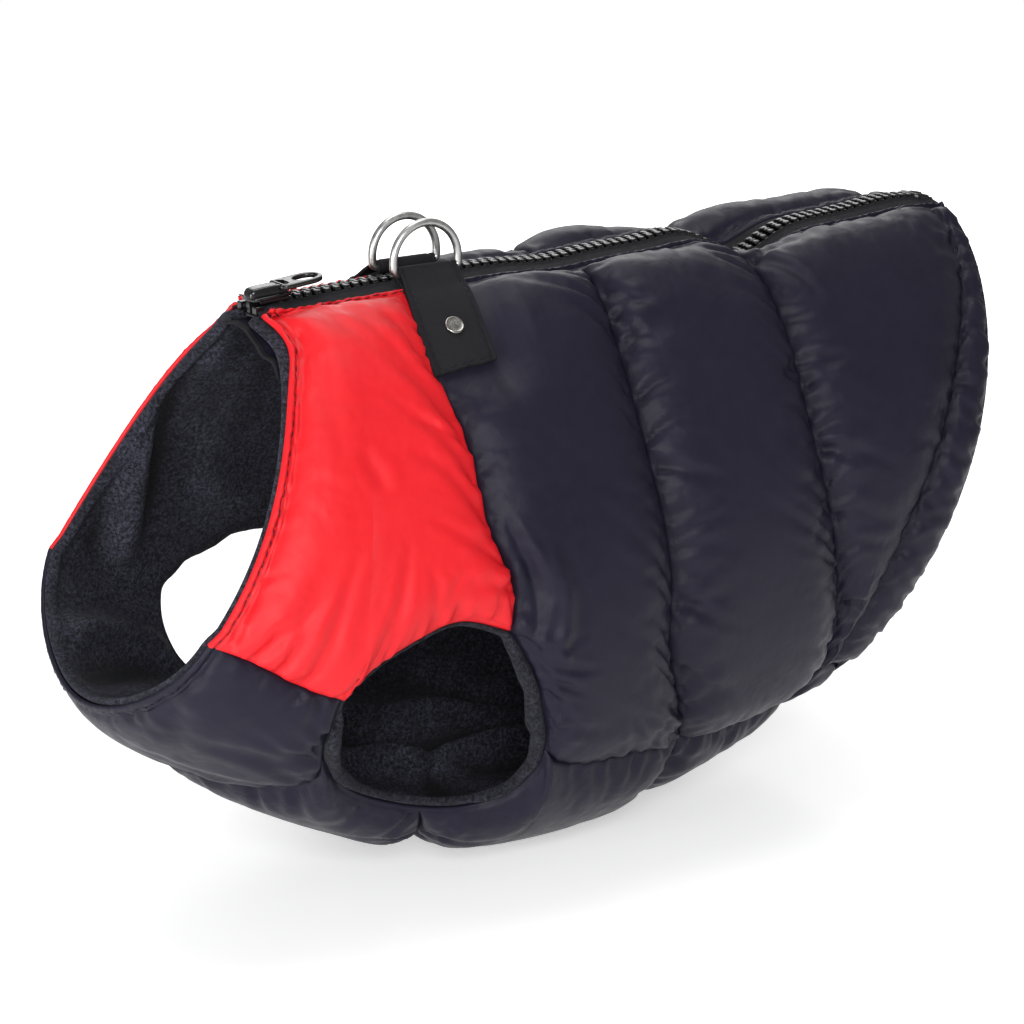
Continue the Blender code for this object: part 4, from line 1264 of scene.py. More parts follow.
    def places(self, fine: int) -> dict[str, np.ndarray]:
        """The places of every pattern piece's grid, each step of it cut in this many."""
        return {**self.pattern.side_patches(fine), **self.pattern.middle_patches(fine)}

    def build(self, finishes: dict[str, bpy.types.Material]) -> None:
        """Makes every panel, and sews it to the frame."""
        coarse, places = self.places(self.fine // 2), self.places(self.fine)
        moved: dict[str, np.ndarray] = {}
        simulation = PuffSimulation(self.puffing)
        for node, name, flipped, seed in self.jobs():
            simulation.add(node, self.face(name, coarse[name], flipped), SPECS[name].slack, seed)
        moved = simulation.run()
        for node, name, flipped, seed in self.jobs():
            rough = self.face(name, places[name], flipped)
            raised = self.creases(name, rough, moved.get(node), seed)
            closer = self.closer(name, rough)
            fine_places = read_between(places[name], *closer)
            plain = self.face(name, fine_places, flipped)
            nearest = np.minimum.reduce(rim_distances(plain)[0])
            lift = read_between(raised, *closer) * np.clip(nearest / self.seam_clear, 0, 1)
            outer = plain + grid_normals(plain) * lift[..., None]
            inner = self.drawn_in(self.pattern.form.raised(fine_places, self.back_height))
            if flipped:
                outer, inner = mirrored(outer), mirrored(inner)
            # near_seam sets the nylon's crinkle and its painted seam shade.
            near = np.exp(-nearest / self.seam_reach)
            piece = shell_object(f"padded_{node}", outer, inner, {"near_seam": near})
            hand_in(piece, "red_nylon" if name == "yoke" else "dark_nylon", finishes, BODY, node)
            self.plain[node], self.skins[node] = plain, outer
            log.info("%s: %d faces", node, len(piece.data.polygons))


# ---------------------------------------------------------------- fleece


@dataclass
class FleeceLining:
    """The fleece inside the vest: one piece a side and one for the chest and belly.

    It is held flat near its edges, and the binding is the ridge and the groove along the open ones.
    """

    pattern: Pattern
    fine: int = 3
    outer_drop: float = 0.05
    fold_gain: float = 1.6
    rim_gathers: tuple[float, float, float] = (11.0, 12.0, 0.35)
    ripple: float = 0.5
    ripple_along: tuple[float, float, float] = (9.1, 3.0, 7.0)
    ripple_round: tuple[float, float, float] = (17.0, 2.0, 5.0)
    held_ends: float = 7.0
    held_sides: float = 6.0
    held_share: float = 0.25
    binding: tuple[tuple[float, float, float], ...] = ((0.9, 1.4, 0.9), (-0.8, 3.6, 0.7))
    # The painted shade on flat fleece, and how many millimetres of sinking add full shade.
    hollow: float = 0.28
    hollow_depth: float = 4.5
    side_folds: tuple[Fold, ...] = (
        Fold(((0.03, 1.68), (0.16, 1.60), (0.26, 1.50), (0.24, 1.42)), 4.5, 7.0),
        Fold(((0.14, 1.73), (0.26, 1.64), (0.34, 1.58), (0.38, 1.53)), -3.0, 3.6),
        Fold(((0.12, 1.58), (0.18, 1.50), (0.17, 1.40), (0.12, 1.34)), -2.6, 4.0),
        Fold(((0.50, 1.66), (0.62, 1.61), (0.78, 1.58)), 2.2, 6.0),
        Fold(((0.04, 1.86), (0.20, 1.80), (0.42, 1.76)), 1.2, 8.0),
        Fold(((1.25, 1.42), (1.60, 1.36), (1.98, 1.33)), 3.2, 5.5),
        Fold(((1.29, 1.36), (1.61, 1.305), (1.90, 1.29)), -2.0, 3.0),
        Fold(((2.10, 1.80), (2.15, 1.50), (2.05, 1.32)), 2.0, 6.0),
        Fold(((2.75, 1.75), (2.80, 1.50), (2.70, 1.30)), 2.0, 6.0),
        Fold(((3.30, 1.80), (3.25, 1.55), (3.10, 1.35)), 1.5, 7.0),
    )
    belly_folds: tuple[Fold, ...] = (
        Fold(((1.02, 1.10), (1.25, 1.13), (1.42, 1.105), (1.70, 1.12), (2.02, 1.10)), 5.0, 4.6),
        Fold(
            ((1.12, 1.20), (1.25, 1.168), (1.39, 1.145), (1.52, 1.15), (1.75, 1.16), (2.0, 1.135)),
            -2.8,
            3.2,
        ),
        Fold(((1.10, 1.26), (1.35, 1.225), (1.60, 1.215), (1.92, 1.17)), 4.0, 4.6),
        Fold(((1.45, 1.275), (1.63, 1.25), (1.73, 1.225), (1.88, 1.19), (2.02, 1.16)), -2.4, 2.6),
        Fold(((1.46, 1.12), (1.42, 1.06), (1.38, 1.0), (1.29, 0.92)), -3.0, 3.0),
        Fold(((1.60, 1.09), (1.75, 1.07), (1.92, 1.08)), -2.0, 2.6),
        Fold(((1.12, 1.02), (1.22, 0.96), (1.16, 0.88)), 2.6, 4.0),
        Fold(((1.58, 1.03), (1.66, 0.95), (1.60, 0.86)), 2.4, 4.5),
        Fold(((0.80, 0.79), (0.84, 0.84), (0.90, 0.92)), -2.4, 2.2),
        Fold(((1.00, 0.79), (1.03, 0.85), (1.02, 0.93)), -2.8, 2.4),
        Fold(((1.16, 0.77), (1.20, 0.83), (1.26, 0.90)), -2.2, 2.2),
        Fold(((-0.02, 1.235), (0.16, 1.275), (0.32, 1.31), (0.47, 1.30)), 5.0, 5.0),
        Fold(((0.09, 1.135), (0.34, 1.235), (0.50, 1.27)), -2.4, 3.2),
        Fold(((0.10, 1.02), (0.26, 1.12), (0.46, 1.20)), 2.2, 5.0),
        Fold(((0.08, 0.84), (0.24, 0.80), (0.44, 0.78)), 2.0, 5.0),
        Fold(((0.62, 0.90), (0.80, 1.02), (1.00, 1.06)), 2.6, 5.0),
        Fold(((2.30, 0.84), (2.35, 1.0), (2.28, 1.16)), 2.0, 7.0),
        Fold(((3.00, 0.86), (3.05, 1.0), (2.98, 1.14)), 2.0, 7.0),
    )

    def skins(self, node: str, places: np.ndarray, seed: int) -> tuple[np.ndarray, ...]:
        """The outer and inner face of one piece with its soft folds, and the painted shade of its hollows."""
        form = self.pattern.form
        outer = form.raised(places, -self.outer_drop)
        inner = form.raised(places, -FLEECE_WALL)
        offset = np.zeros(places.shape[:2])
        for fold in self.belly_folds if node == "belly_lining" else self.side_folds:
            offset += self.fold_gain * fold.offsets(form, inner, node == "left_lining")
        distances, down, _ = rim_distances(inner)
        rng = np.random.default_rng(seed)
        for rim in (Rim.FRONT, Rim.REAR):
            offset -= Gathers(rim, *self.rim_gathers).offsets(distances, down, rng)
        along, round_ = places[..., 0], places[..., 1]
        ripple = self.ripple
        for (turns, sway, sway_turns), here, aside in (
            (self.ripple_along, along, round_),
            (self.ripple_round, round_, along),
        ):
            ripple = ripple * np.sin(here * turns + sway * np.sin(aside * sway_turns))
        offset += ripple
        ends = np.minimum(distances[0], distances[1])
        sides = np.clip(np.minimum(distances[2], distances[3]) / self.held_sides, 0, 1)
        held = np.clip(ends / self.held_ends, 0, 1) * (self.held_share + (1 - self.held_share) * sides)
        moved = offset * held + sum(size * bell(ends, at, width) for size, at, width in self.binding)
        # Painted shade: the fleece's colour is darkened where a fold sinks in, and less so on its ridges.
        hollow = np.clip(self.hollow - moved / self.hollow_depth, 0, 1)
        return outer, inner - form.normal(along, round_) * moved[..., None], hollow

    def build(self, finishes: dict[str, bpy.types.Material]) -> None:
        """Makes the three pieces."""
        places = self.pattern.lining_patches(self.fine)
        pieces = {
            "left_lining": self.skins("left_lining", places["side"], 5),
            "right_lining": self.skins("right_lining", other_side(places["side"]), 7),
            "belly_lining": self.skins("belly_lining", places["belly"], 6),
        }
        for node, (outer, inner, hollow) in pieces.items():
            piece = shell_object(f"fleece_{node}", outer, inner, {"hollow": hollow}, 0.5)
            hand_in(piece, "fleece", finishes, BODY, node)
            high, long = (float(lengths.max()) * MM for lengths in grid_lengths(outer))
            area = grid_area(outer) * MM**2
            log.info("%s: %d faces", node, len(piece.data.polygons))


def grid_area(points: np.ndarray) -> float:
    """The area of a grid's surface."""
    first = np.cross(points[1:, :-1] - points[:-1, :-1], points[:-1, 1:] - points[:-1, :-1])
    second = np.cross(points[1:, :-1] - points[1:, 1:], points[:-1, 1:] - points[1:, 1:])
    return float((np.linalg.norm(first, axis=-1) + np.linalg.norm(second, axis=-1)).sum() / 2)


# ---------------------------------------------------------------- finishes


class Graph:
    """A node tree that is filled one call at a time."""

    def __init__(self, tree: bpy.types.NodeTree) -> None:
        """Wraps the tree."""
        self.tree = tree

    def fill(self, node: bpy.types.Node, inputs: dict[str | int, object]) -> None:
        """Gives a node's inputs their values, or links them to sockets."""
        for word, value in inputs.items():
            if isinstance(value, bpy.types.NodeSocket):
                self.tree.links.new(value, node.inputs[word])
            else:
                node.inputs[word].default_value = value

    def add(self, kind: str, inputs: dict | None = None, **settings: object) -> bpy.types.Node:
        """Adds a node.

        Args:
            kind: The node's type.
            inputs: What each input holds, or the socket that it is linked to.
            settings: The node's own settings.

        Returns:
            The node.
        """
        node = self.tree.nodes.new(kind)
        for word, value in settings.items():
            setattr(node, word, value)
        self.fill(node, inputs or {})
        return node

    def math(self, operation: str, *values: object) -> bpy.types.NodeSocket:
        """Adds a Math node and returns its output."""
        inputs = dict(enumerate((*values, 0.0, 0.0)[:3]))
        return self.add("ShaderNodeMath", inputs, operation=operation).outputs[0]

    def noise(
        self, vector: object, scale: object, detail: float = 2.0, roughness: float = 0.5
    ) -> bpy.types.NodeSocket:
        """Adds a Noise Texture and returns its value."""
        inputs = {"Vector": vector, "Scale": scale, "Detail": detail, "Roughness": roughness}
        return self.add("ShaderNodeTexNoise", inputs).outputs["Fac"]

    def mix(self, share: object, first: object, second: object) -> bpy.types.NodeSocket:
        """Adds a colour Mix node and returns its colour."""
        node = self.add("ShaderNodeMix", {0: share, 6: first, 7: second}, data_type="RGBA")
        return node.outputs[2]

    def spread(
        self, value: object, low: float, high: float, to_low: float = 0.0, to_high: float = 1.0
    ) -> bpy.types.NodeSocket:
        """Adds a Map Range node and returns its value."""
        inputs = {"Value": value, 1: low, 2: high, 3: to_low, 4: to_high}
        return self.add("ShaderNodeMapRange", inputs).outputs[0]

    def bump(self, height: object, strength: float, depth: float, **others: object) -> bpy.types.NodeSocket:
        """Adds a Bump node and returns its normal."""
        inputs = {"Height": height, "Strength": strength, "Distance": depth, **others}
        return self.add("ShaderNodeBump", inputs).outputs[0]

    def place(self) -> bpy.types.NodeSocket:
        """Adds a Texture Coordinate node and returns the place on the object, in metres."""
        return self.add("ShaderNodeTexCoord").outputs["Object"]

    def number(self, name: str) -> bpy.types.NodeSocket:
        """Adds an Attribute node and returns the mesh's number of this name."""
        return self.add("ShaderNodeAttribute", attribute_name=name).outputs["Fac"]


def shader_group(
    name: str, inputs: dict[str, str], outputs: dict[str, str]
) -> tuple[bpy.types.NodeTree, Graph]:
    """Starts a shader node group.

    Args:
        name: The group's name.
        inputs: Its inputs' names, with Float or Vector.
        outputs: Its outputs' names, with Float or Vector.

    Returns:
        The group and its graph.
    """
    group = bpy.data.node_groups.new(name, "ShaderNodeTree")
    for direction, sockets in (("INPUT", inputs), ("OUTPUT", outputs)):
        for word, kind in sockets.items():
            group.interface.new_socket(word, in_out=direction, socket_type=f"NodeSocket{kind}")
    return group, Graph(group)


def weave_group() -> bpy.types.NodeTree:
    """Crossed threads on the cloth's own UV map, in metres, as a height from 0 to 1."""
    group, graph = shader_group("thread weave", {"Vector": "Vector", "Pitch": "Float"}, {"Height": "Float"})
    given = graph.add("NodeGroupInput").outputs
    split = graph.add("ShaderNodeSeparateXYZ", {0: given["Vector"]}).outputs
    turns = graph.math("DIVIDE", 2 * math.pi, given["Pitch"])
    waves = [graph.math("SINE", graph.math("MULTIPLY", split[axis], turns)) for axis in (0, 1)]
    over = graph.math("MULTIPLY", *waves)
    graph.add("NodeGroupOutput", {"Height": graph.math("MULTIPLY_ADD", over, 0.5, 0.5)})
    return group


def crinkle_group() -> bpy.types.NodeTree:
    """The small random creases of thin nylon, stronger near a seam, as a height from 0 to 1."""
    words = {"Vector": "Vector", "Size": "Float", "Near seam": "Float"}
    group, graph = shader_group("nylon crinkle", words, {"Height": "Float"})
    given = graph.add("NodeGroupInput").outputs
    scale = graph.math("DIVIDE", 1.0, given["Size"])
    broad = graph.noise(given["Vector"], scale, 2.0, 0.55)
    ridge = graph.math("ABSOLUTE", graph.math("SUBTRACT", broad, 0.5))
    small = graph.noise(given["Vector"], graph.math("MULTIPLY", scale, 3.1))
    strength = graph.math("MULTIPLY_ADD", given["Near seam"], 0.8, 0.35)
    both = graph.math("MULTIPLY_ADD", small, 0.22, graph.math("MULTIPLY", ridge, 1.6))
    graph.add("NodeGroupOutput", {"Height": graph.math("MULTIPLY", both, strength)})
    return group


def nap_group() -> bpy.types.NodeTree:
    """The short matted nap of fleece: its height, and a mask of its lighter fibre tips."""
    words, results = {"Vector": "Vector", "Tuft": "Float"}, {"Height": "Float", "Tips": "Float"}
    group, graph = shader_group("fleece nap", words, results)
    given = graph.add("NodeGroupInput").outputs
    scale = graph.math("DIVIDE", 1.0, given["Tuft"])
    warp = graph.add("ShaderNodeTexNoise", {"Vector": given["Vector"], "Scale": scale, "Detail": 2.0})
    shift = graph.add("ShaderNodeVectorMath", {0: warp.outputs["Color"], 3: 0.0012}, operation="SCALE")
    moved = graph.add("ShaderNodeVectorMath", {0: given["Vector"], 1: shift.outputs[0]}, operation="ADD")
    tufts = graph.noise(moved.outputs[0], scale, 3.0, 0.65)
    fibres = graph.noise(moved.outputs[0], graph.math("MULTIPLY", scale, 3.7), 3.0, 0.7)
    height = graph.math("MULTIPLY_ADD", fibres, 0.45, graph.math("MULTIPLY", tufts, 0.75))
    tips = graph.spread(graph.math("MULTIPLY", tufts, fibres), 0.20, 0.36)
    graph.add("NodeGroupOutput", {"Height": height, "Tips": tips})
    return group


@dataclass(frozen=True)
class Finish:
    """What every finish has: its material's name and its colour."""

    name: str
    colour: tuple[float, float, float]

    def tone(self, by: float = 1.0, plus: float = 0.0) -> tuple[float, ...]:
        """The colour made this many times as bright, and this much paler, with its alpha."""
        return (*(channel * by + plus for channel in self.colour), 1.0)


@dataclass(frozen=True)
class Nylon(Finish):
    """Glossy thin woven nylon."""

    roughness: float = 0.42
    crinkle: float = 0.0005
    crinkle_size: float = 0.010
    thread: float = 0.00032
    sheen: float = 0.1
    shade: float = 0.82
    shine: float = 0.3
    seam_shade: float = 0.8

    def build(self, groups: dict[str, bpy.types.NodeTree]) -> bpy.types.Material:
        """Makes the material."""
        made, graph, shader = new_material(self.name)
        place, near = graph.place(), graph.number("near_seam")
        uv = graph.add("ShaderNodeUVMap", uv_map="cloth").outputs[0]
        inputs = {"Vector": uv, "Pitch": self.thread}
        weave = graph.add("ShaderNodeGroup", inputs, node_tree=groups["weave"]).outputs["Height"]
        inputs = {"Vector": place, "Near seam": near, "Size": self.crinkle_size}
        crinkle = graph.add("ShaderNodeGroup", inputs, node_tree=groups["crinkle"]).outputs["Height"]
        drift = graph.spread(graph.noise(place, 60.0, 3.0, 0.6), 0.3, 0.7)
        colour = graph.mix(drift, self.tone(self.shade), self.tone())
        # Painted shade: the colour darkens near a seam, where the padding dips into its valley.
        painted_seam_tone = self.tone(self.shade * self.seam_shade)
        dull, bright = self.roughness + 0.06, self.roughness - 0.05
        rough = graph.spread(graph.noise(place, 240.0), 0.3, 0.7, bright, dull)
        fine = graph.bump(weave, 0.5, 0.00004)
        look = {
            "Base Color": graph.mix(graph.math("MULTIPLY", near, 0.35), colour, painted_seam_tone),
            "Roughness": graph.math("MULTIPLY_ADD", weave, 0.05, rough),
            "Normal": graph.bump(crinkle, 1.0, self.crinkle, Normal=fine),
            "Sheen Weight": self.sheen,
            "Sheen Roughness": 0.4,
            "Specular IOR Level": self.shine,
        }
        graph.fill(shader, look)
        return made


@dataclass(frozen=True)
class Fleece(Finish):
    """Matt fleece with a short, matted nap."""

    tips: tuple[float, float, float]
    tuft: float = 0.0010
    depth: float = 0.0015
    sheen: float = 0.05

    def build(self, groups: dict[str, bpy.types.NodeTree]) -> bpy.types.Material:
        """Makes the material."""
        made, graph, shader = new_material(self.name)
        place = graph.place()
        inputs = {"Vector": place, "Tuft": self.tuft}
        nap = graph.add("ShaderNodeGroup", inputs, node_tree=groups["nap"]).outputs
        patchy = graph.spread(graph.noise(place, 90.0, 3.0, 0.6), 0.35, 0.65, 0.55)
        colour = graph.mix(graph.math("MULTIPLY", nap["Tips"], patchy), self.tone(), (*self.tips, 1))
        # Painted shade: the colour is mixed towards a quarter of itself in the folds' hollows and on the
        # armhole bands.
        hollow = graph.math("MULTIPLY", graph.number("hollow"), 0.9)
        look = {
            "Base Color": graph.mix(hollow, colour, self.tone(0.25)),
            "Roughness": graph.spread(nap["Height"], 0.2, 0.9, 1.0, 0.88),
            "Normal": graph.bump(nap["Height"], 1.0, self.depth),
            "Sheen Weight": self.sheen,
            "Sheen Roughness": 0.55,
            "Sheen Tint": (0.75, 0.76, 0.80, 1.0),
            "Specular IOR Level": 0.2,
        }
        graph.fill(shader, look)
        return made


@dataclass(frozen=True)
class Woven(Finish):
    """Dense matt woven tape or strap."""

    thread: float = 0.0006
    depth: float = 0.00012
    roughness: float = 0.78

    def build(self, groups: dict[str, bpy.types.NodeTree]) -> bpy.types.Material:
        """Makes the material."""
        made, graph, shader = new_material(self.name)
        uv = graph.add("ShaderNodeUVMap", uv_map="cloth").outputs[0]
        inputs = {"Vector": uv, "Pitch": self.thread}
        weave = graph.add("ShaderNodeGroup", inputs, node_tree=groups["weave"]).outputs["Height"]
        worn = graph.noise(graph.place(), 420.0, 3.0, 0.65)
        share = graph.math("MULTIPLY", weave, graph.spread(worn, 0.35, 0.7, 0.2, 0.9))
        height = graph.math("MULTIPLY_ADD", worn, 0.5, weave)
        look = {
            "Base Color": graph.mix(share, self.tone(), self.tone(1.9, 0.004)),
            "Roughness": graph.spread(worn, 0.3, 0.7, self.roughness - 0.08, self.roughness + 0.1),
            "Normal": graph.bump(height, 1.0, self.depth),
            "Specular IOR Level": 0.2,
        }
        graph.fill(shader, look)
        return made


@dataclass(frozen=True)
class Plastic(Finish):
    """Glossy moulded plastic with a slightly uneven skin."""

    roughness: float = 0.22

    def build(self, _: dict[str, bpy.types.NodeTree]) -> bpy.types.Material:
        """Makes the material."""
        made, graph, shader = new_material(self.name)
        place = graph.place()
        flow = graph.noise(place, 700.0, 3.0, 0.6)
        scuff = graph.noise(place, 2600.0)
        height = graph.math("MULTIPLY_ADD", scuff, 0.3, flow)
        scuffed = graph.spread(scuff, 0.5, 0.8, 0.0, 0.6)
        look = {
            "Base Color": graph.mix(scuffed, self.tone(), self.tone(1.6, 0.002)),
            "Roughness": graph.spread(flow, 0.3, 0.7, self.roughness - 0.06, self.roughness + 0.10),
            "Normal": graph.bump(height, 0.6, 0.00006),
        }
        graph.fill(shader, look)
        return made


@dataclass(frozen=True)
class Metal(Finish):
    """Bright metal with fine tumbling marks."""

    roughness: float = 0.3
    marks: float = 0.00003

    def build(self, _: dict[str, bpy.types.NodeTree]) -> bpy.types.Material:
        """Makes the material."""
        made, graph, shader = new_material(self.name)
        place = graph.place()
        fine = graph.noise(place, 3000.0, 3.0, 0.6)
        cloudy = graph.noise(place, 500.0)
        look = {
            "Base Color": graph.mix(graph.spread(cloudy, 0.35, 0.65), self.tone(0.8), self.tone()),
            "Roughness": graph.spread(cloudy, 0.3, 0.7, self.roughness - 0.05, self.roughness + 0.08),
            "Normal": graph.bump(fine, 0.5, self.marks),
            "Metallic": 1.0,
        }
        graph.fill(shader, look)
        return made


def new_material(name: str) -> tuple[bpy.types.Material, Graph, bpy.types.Node]:
    """A new material, its graph and its Principled shader."""
    made = bpy.data.materials.new(name)
    made.use_nodes = True
    return made, Graph(made.node_tree), made.node_tree.nodes["Principled BSDF"]


FINISHES = {
    "red_nylon": Nylon("red nylon", (0.66, 0.011, 0.017), 0.40, 0.0004, 0.011, 0.00032, 0.0, 0.93, 0.25),
    "dark_nylon": Nylon("dark nylon", (0.015, 0.0133, 0.0245), 0.34, 0.0005, 0.010, 0.00032, 0.0, 0.85, 0.12),
    "fleece": Fleece("fleece", (0.0036, 0.0035, 0.0074), (0.096, 0.096, 0.145)),
    "zip_tape": Woven("zip tape", (0.006, 0.006, 0.008), 0.0007),
    "strap": Woven("strap", (0.0075, 0.0072, 0.0088), 0.0005, 0.00010, 0.80),
    "zip_plastic": Plastic("zip plastic", (0.004, 0.004, 0.0045)),
    "satin_steel": Metal("satin steel", (0.55, 0.55, 0.54), 0.36),
    "nickel": Metal("nickel", (0.33, 0.32, 0.30), 0.24),
}


def make_finishes() -> dict[str, bpy.types.Material]:
    """Makes every material, with the groups that they share."""
    groups = {"weave": weave_group(), "crinkle": crinkle_group(), "nap": nap_group()}
    return {slot: look.build(groups) for slot, look in FINISHES.items()}


# ---------------------------------------------------------------- studio


@dataclass(frozen=True)
class AreaLight:
    """A soft square light: its place and size in metres, and its power in watts."""

    name: str
    place: tuple[float, float, float]
    size: float
    power: float


@dataclass(frozen=True)
class Studio:
    """The floor, the lights and the camera."""

    azimuth: float = -33.0
    elevation: float = 17.0
    distance: float = 850.0
    target: tuple[float, float, float] = (29.18, 0.0, -70.98)
    focal: float = 101.6
    sensor: float = 36.0
    clips: tuple[float, float] = (0.01, 20.0)
    world_strength: float = 0.30
    lights: tuple[AreaLight, ...] = (
        AreaLight("key", (-0.60, -1.08, 0.45), 0.45, 11.5),
        AreaLight("low front", (-1.15, -0.30, 0.02), 0.4, 8.0),
        AreaLight("top", (0.1, 0.15, 1.2), 0.8, 8.0),
        AreaLight("rear", (0.6, 1.0, 0.6), 0.8, 5.0),
    )
    floor_half: float = 1000.0
    floor_gap: float = 0.5
    floor_tones: tuple[float, float] = (0.88, 0.92)
    floor_glow: float = 0.35
    floor_seen: tuple[float, float] = (0.42, 0.85)
    floor_fade: tuple[float, float] = (0.35, 0.8)

    def camera(self) -> None:
        """Sets the camera at the photograph's viewing angle."""
        a, e = math.radians(self.azimuth), math.radians(self.elevation)
        back = Vector((math.sin(a) * math.cos(e), -math.cos(a) * math.cos(e), math.sin(e)))
        data = bpy.data.cameras.new("camera")
        data.lens, data.sensor_width = self.focal, self.sensor
        data.clip_start, data.clip_end = self.clips
        camera = in_scene("camera", data)
        camera.location = (Vector(self.target) + back * self.distance) * MM
        camera.rotation_euler = back.to_track_quat("Z", "Y").to_euler()
        bpy.context.scene.camera = camera

    def light(self, spec: AreaLight) -> None:
        """Adds a light that faces the vest."""
        data = bpy.data.lights.new(spec.name, "AREA")
        data.energy, data.size = spec.power, spec.size
        light = in_scene(spec.name, data)
        light.location = spec.place
        facing = Vector(spec.place) - Vector(self.target) * MM
        light.rotation_euler = facing.to_track_quat("Z", "Y").to_euler()

    def world(self) -> None:
        """Makes the surroundings: they light the vest a little, and are white to the camera."""
        world = bpy.data.worlds.new("studio")
        world.use_nodes = True
        graph, nodes = Graph(world.node_tree), world.node_tree.nodes
        white = (1.0, 1.0, 1.0, 1.0)
        graph.fill(nodes["Background"], {"Color": white, "Strength": self.world_strength})
        seen = graph.add("ShaderNodeBackground", {"Color": white}).outputs[0]
        to_camera = graph.add("ShaderNodeLightPath").outputs["Is Camera Ray"]
        both = graph.add("ShaderNodeMixShader", {0: to_camera, 1: nodes["Background"].outputs[0], 2: seen})
        graph.fill(nodes["World Output"], {"Surface": both.outputs[0]})
        bpy.context.scene.world = world

    def build(self, lowest: float) -> None:
        """Makes the floor just under the vest's lowest point, in metres, the lights and the camera."""
        self.camera()
        for spec in self.lights:
            self.light(spec)
        self.world()
        bpy.context.scene.view_settings.view_transform = "Standard"
        corners = np.array([(-1, -1, 0), (1, -1, 0), (1, 1, 0), (-1, 1, 0)]) * self.floor_half
        floor = new_object("floor", corners, [(0, 1, 2, 3)], False)
        floor.location.z = lowest - self.floor_gap * MM
        floor.data.materials.append(self.floor_finish())
        floor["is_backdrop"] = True

    def floor_finish(self) -> bpy.types.Material:
        """A pale floor that glows, more so to the camera where it is far off and no light falls."""
        made, graph, shader = new_material("pale floor")
        place = graph.place()
        dark, pale, glow, near, far = (
            (tone, tone, tone, 1) for tone in (*self.floor_tones, self.floor_glow, *self.floor_seen)
        )
        colour = graph.mix(graph.noise(place, 40.0, 3.0), dark, pale)
        away = graph.add("ShaderNodeVectorMath", {0: place}, operation="LENGTH").outputs["Value"]
        seen = graph.mix(graph.spread(away, *self.floor_fade), near, far)
        to_camera = graph.add("ShaderNodeLightPath").outputs["Is Camera Ray"]
        look = {
            "Base Color": colour,
            "Emission Color": graph.mix(to_camera, glow, seen),
            "Emission Strength": 1.0,
            "Roughness": 0.9,
        }
        graph.fill(shader, look)
        return made


# ---------------------------------------------------------------- shapes for the hard pieces

# How near, in metres, two points of a turned curve or a cut have to be to count as one.
WELD = 1e-6


def combined(name: str, parts: list[tuple[np.ndarray, list]], smooth: bool = True) -> bpy.types.Object:
    """One object from several closed shapes.

    Args:
        name: The piece's name.
        parts: Each shape's points, in millimetres, and its faces.
        smooth: Whether it is shaded smooth.

    Returns:
        The object.
    """
    points, faces, start = [], [], 0
    for verts, part_faces in parts:
        points.append(np.asarray(verts, float).reshape(-1, 3))
        faces += [[int(i) + start for i in face] for face in part_faces]
        start += len(points[-1])
    return facing_out(new_object(name, np.concatenate(points), faces, smooth))


def ring_faces(count: int, rings: int, loop: bool = False) -> list[tuple[int, ...]]:
    """The quads between rings of points, count points each, with the ends closed or joined in a loop."""
    faces = []
    for k in range(rings if loop else rings - 1):
        after = (k + 1) % rings
        for i in range(count):
            j = (i + 1) % count
            faces.append((k * count + i, k * count + j, after * count + j, after * count + i))
    if not loop:
        faces.append(tuple(range(count))[::-1])
        faces.append(tuple((rings - 1) * count + i for i in range(count)))
    return faces


def rounded_plate(
    outline: list[tuple[float, float]], low: float, high: float, edge: float, steps: int = 3
) -> tuple[np.ndarray, list]:
    """A plate with rounded edges.

    Args:
        outline: Its outline seen from above, going round against the clock.
        low: The height of its underside.
        high: The height of its top.
        edge: The radius of its edges.
        steps: How many steps round each edge.

    Returns:
        Its points and faces.
    """
    outline = np.asarray(outline, float)
    ahead = unit(np.roll(outline, -1, axis=0) - outline)
    mean = unit(ahead + np.roll(ahead, 1, axis=0))
    inward = np.stack([-mean[:, 1], mean[:, 0]], axis=1)
    turns = np.linspace(0, math.pi / 2, steps + 1)
    rings = []
    for height, sign, order in ((low + edge, -1, turns[::-1]), (high - edge, 1, turns)):
        for turn in order:
            line = outline + inward * edge * (1 - math.cos(turn))
            level = np.full(len(line), height + sign * edge * math.sin(turn))
            rings.append(np.column_stack([line, level]))
    return np.concatenate(rings), ring_faces(len(outline), len(rings))


def swept(
    path: np.ndarray, aside: np.ndarray, out: np.ndarray, section: np.ndarray, loop: bool = False
) -> tuple[np.ndarray, list]:
    """A bar along a path.

    Args:
        path: The path's points.
        aside: The direction of the section's first coordinate at each of them.
        out: The direction of its second coordinate.
        section: The outline, as (aside, out), the same all along or one for each point of the path.
        loop: Whether the path's end joins its start.

    Returns:
        Its points and faces.
    """
    section = np.broadcast_to(section, (len(path), *np.asarray(section).shape[-2:]))
    rings = path[:, None] + aside[:, None] * section[..., :1] + out[:, None] * section[..., 1:]
    return rings.reshape(-1, 3), ring_faces(section.shape[1], len(path), loop)


def circle(radius: float, count: int) -> np.ndarray:
    """Points round a circle."""
    turns = np.arange(count) * 2 * np.pi / count
    return radius * np.stack([np.cos(turns), np.sin(turns)], axis=1)


def directions(path: np.ndarray, out: np.ndarray, loop: bool = False) -> tuple[np.ndarray, np.ndarray]:
    """Unit vectors at each point of a path: aside from it, and out square to both."""
    if loop:
        run = np.roll(path, -1, axis=0) - np.roll(path, 1, axis=0)
    else:
        run = np.gradient(path, axis=0)
    run = unit(run)
    aside = unit(np.cross(out, run))
    return aside, np.cross(run, aside)


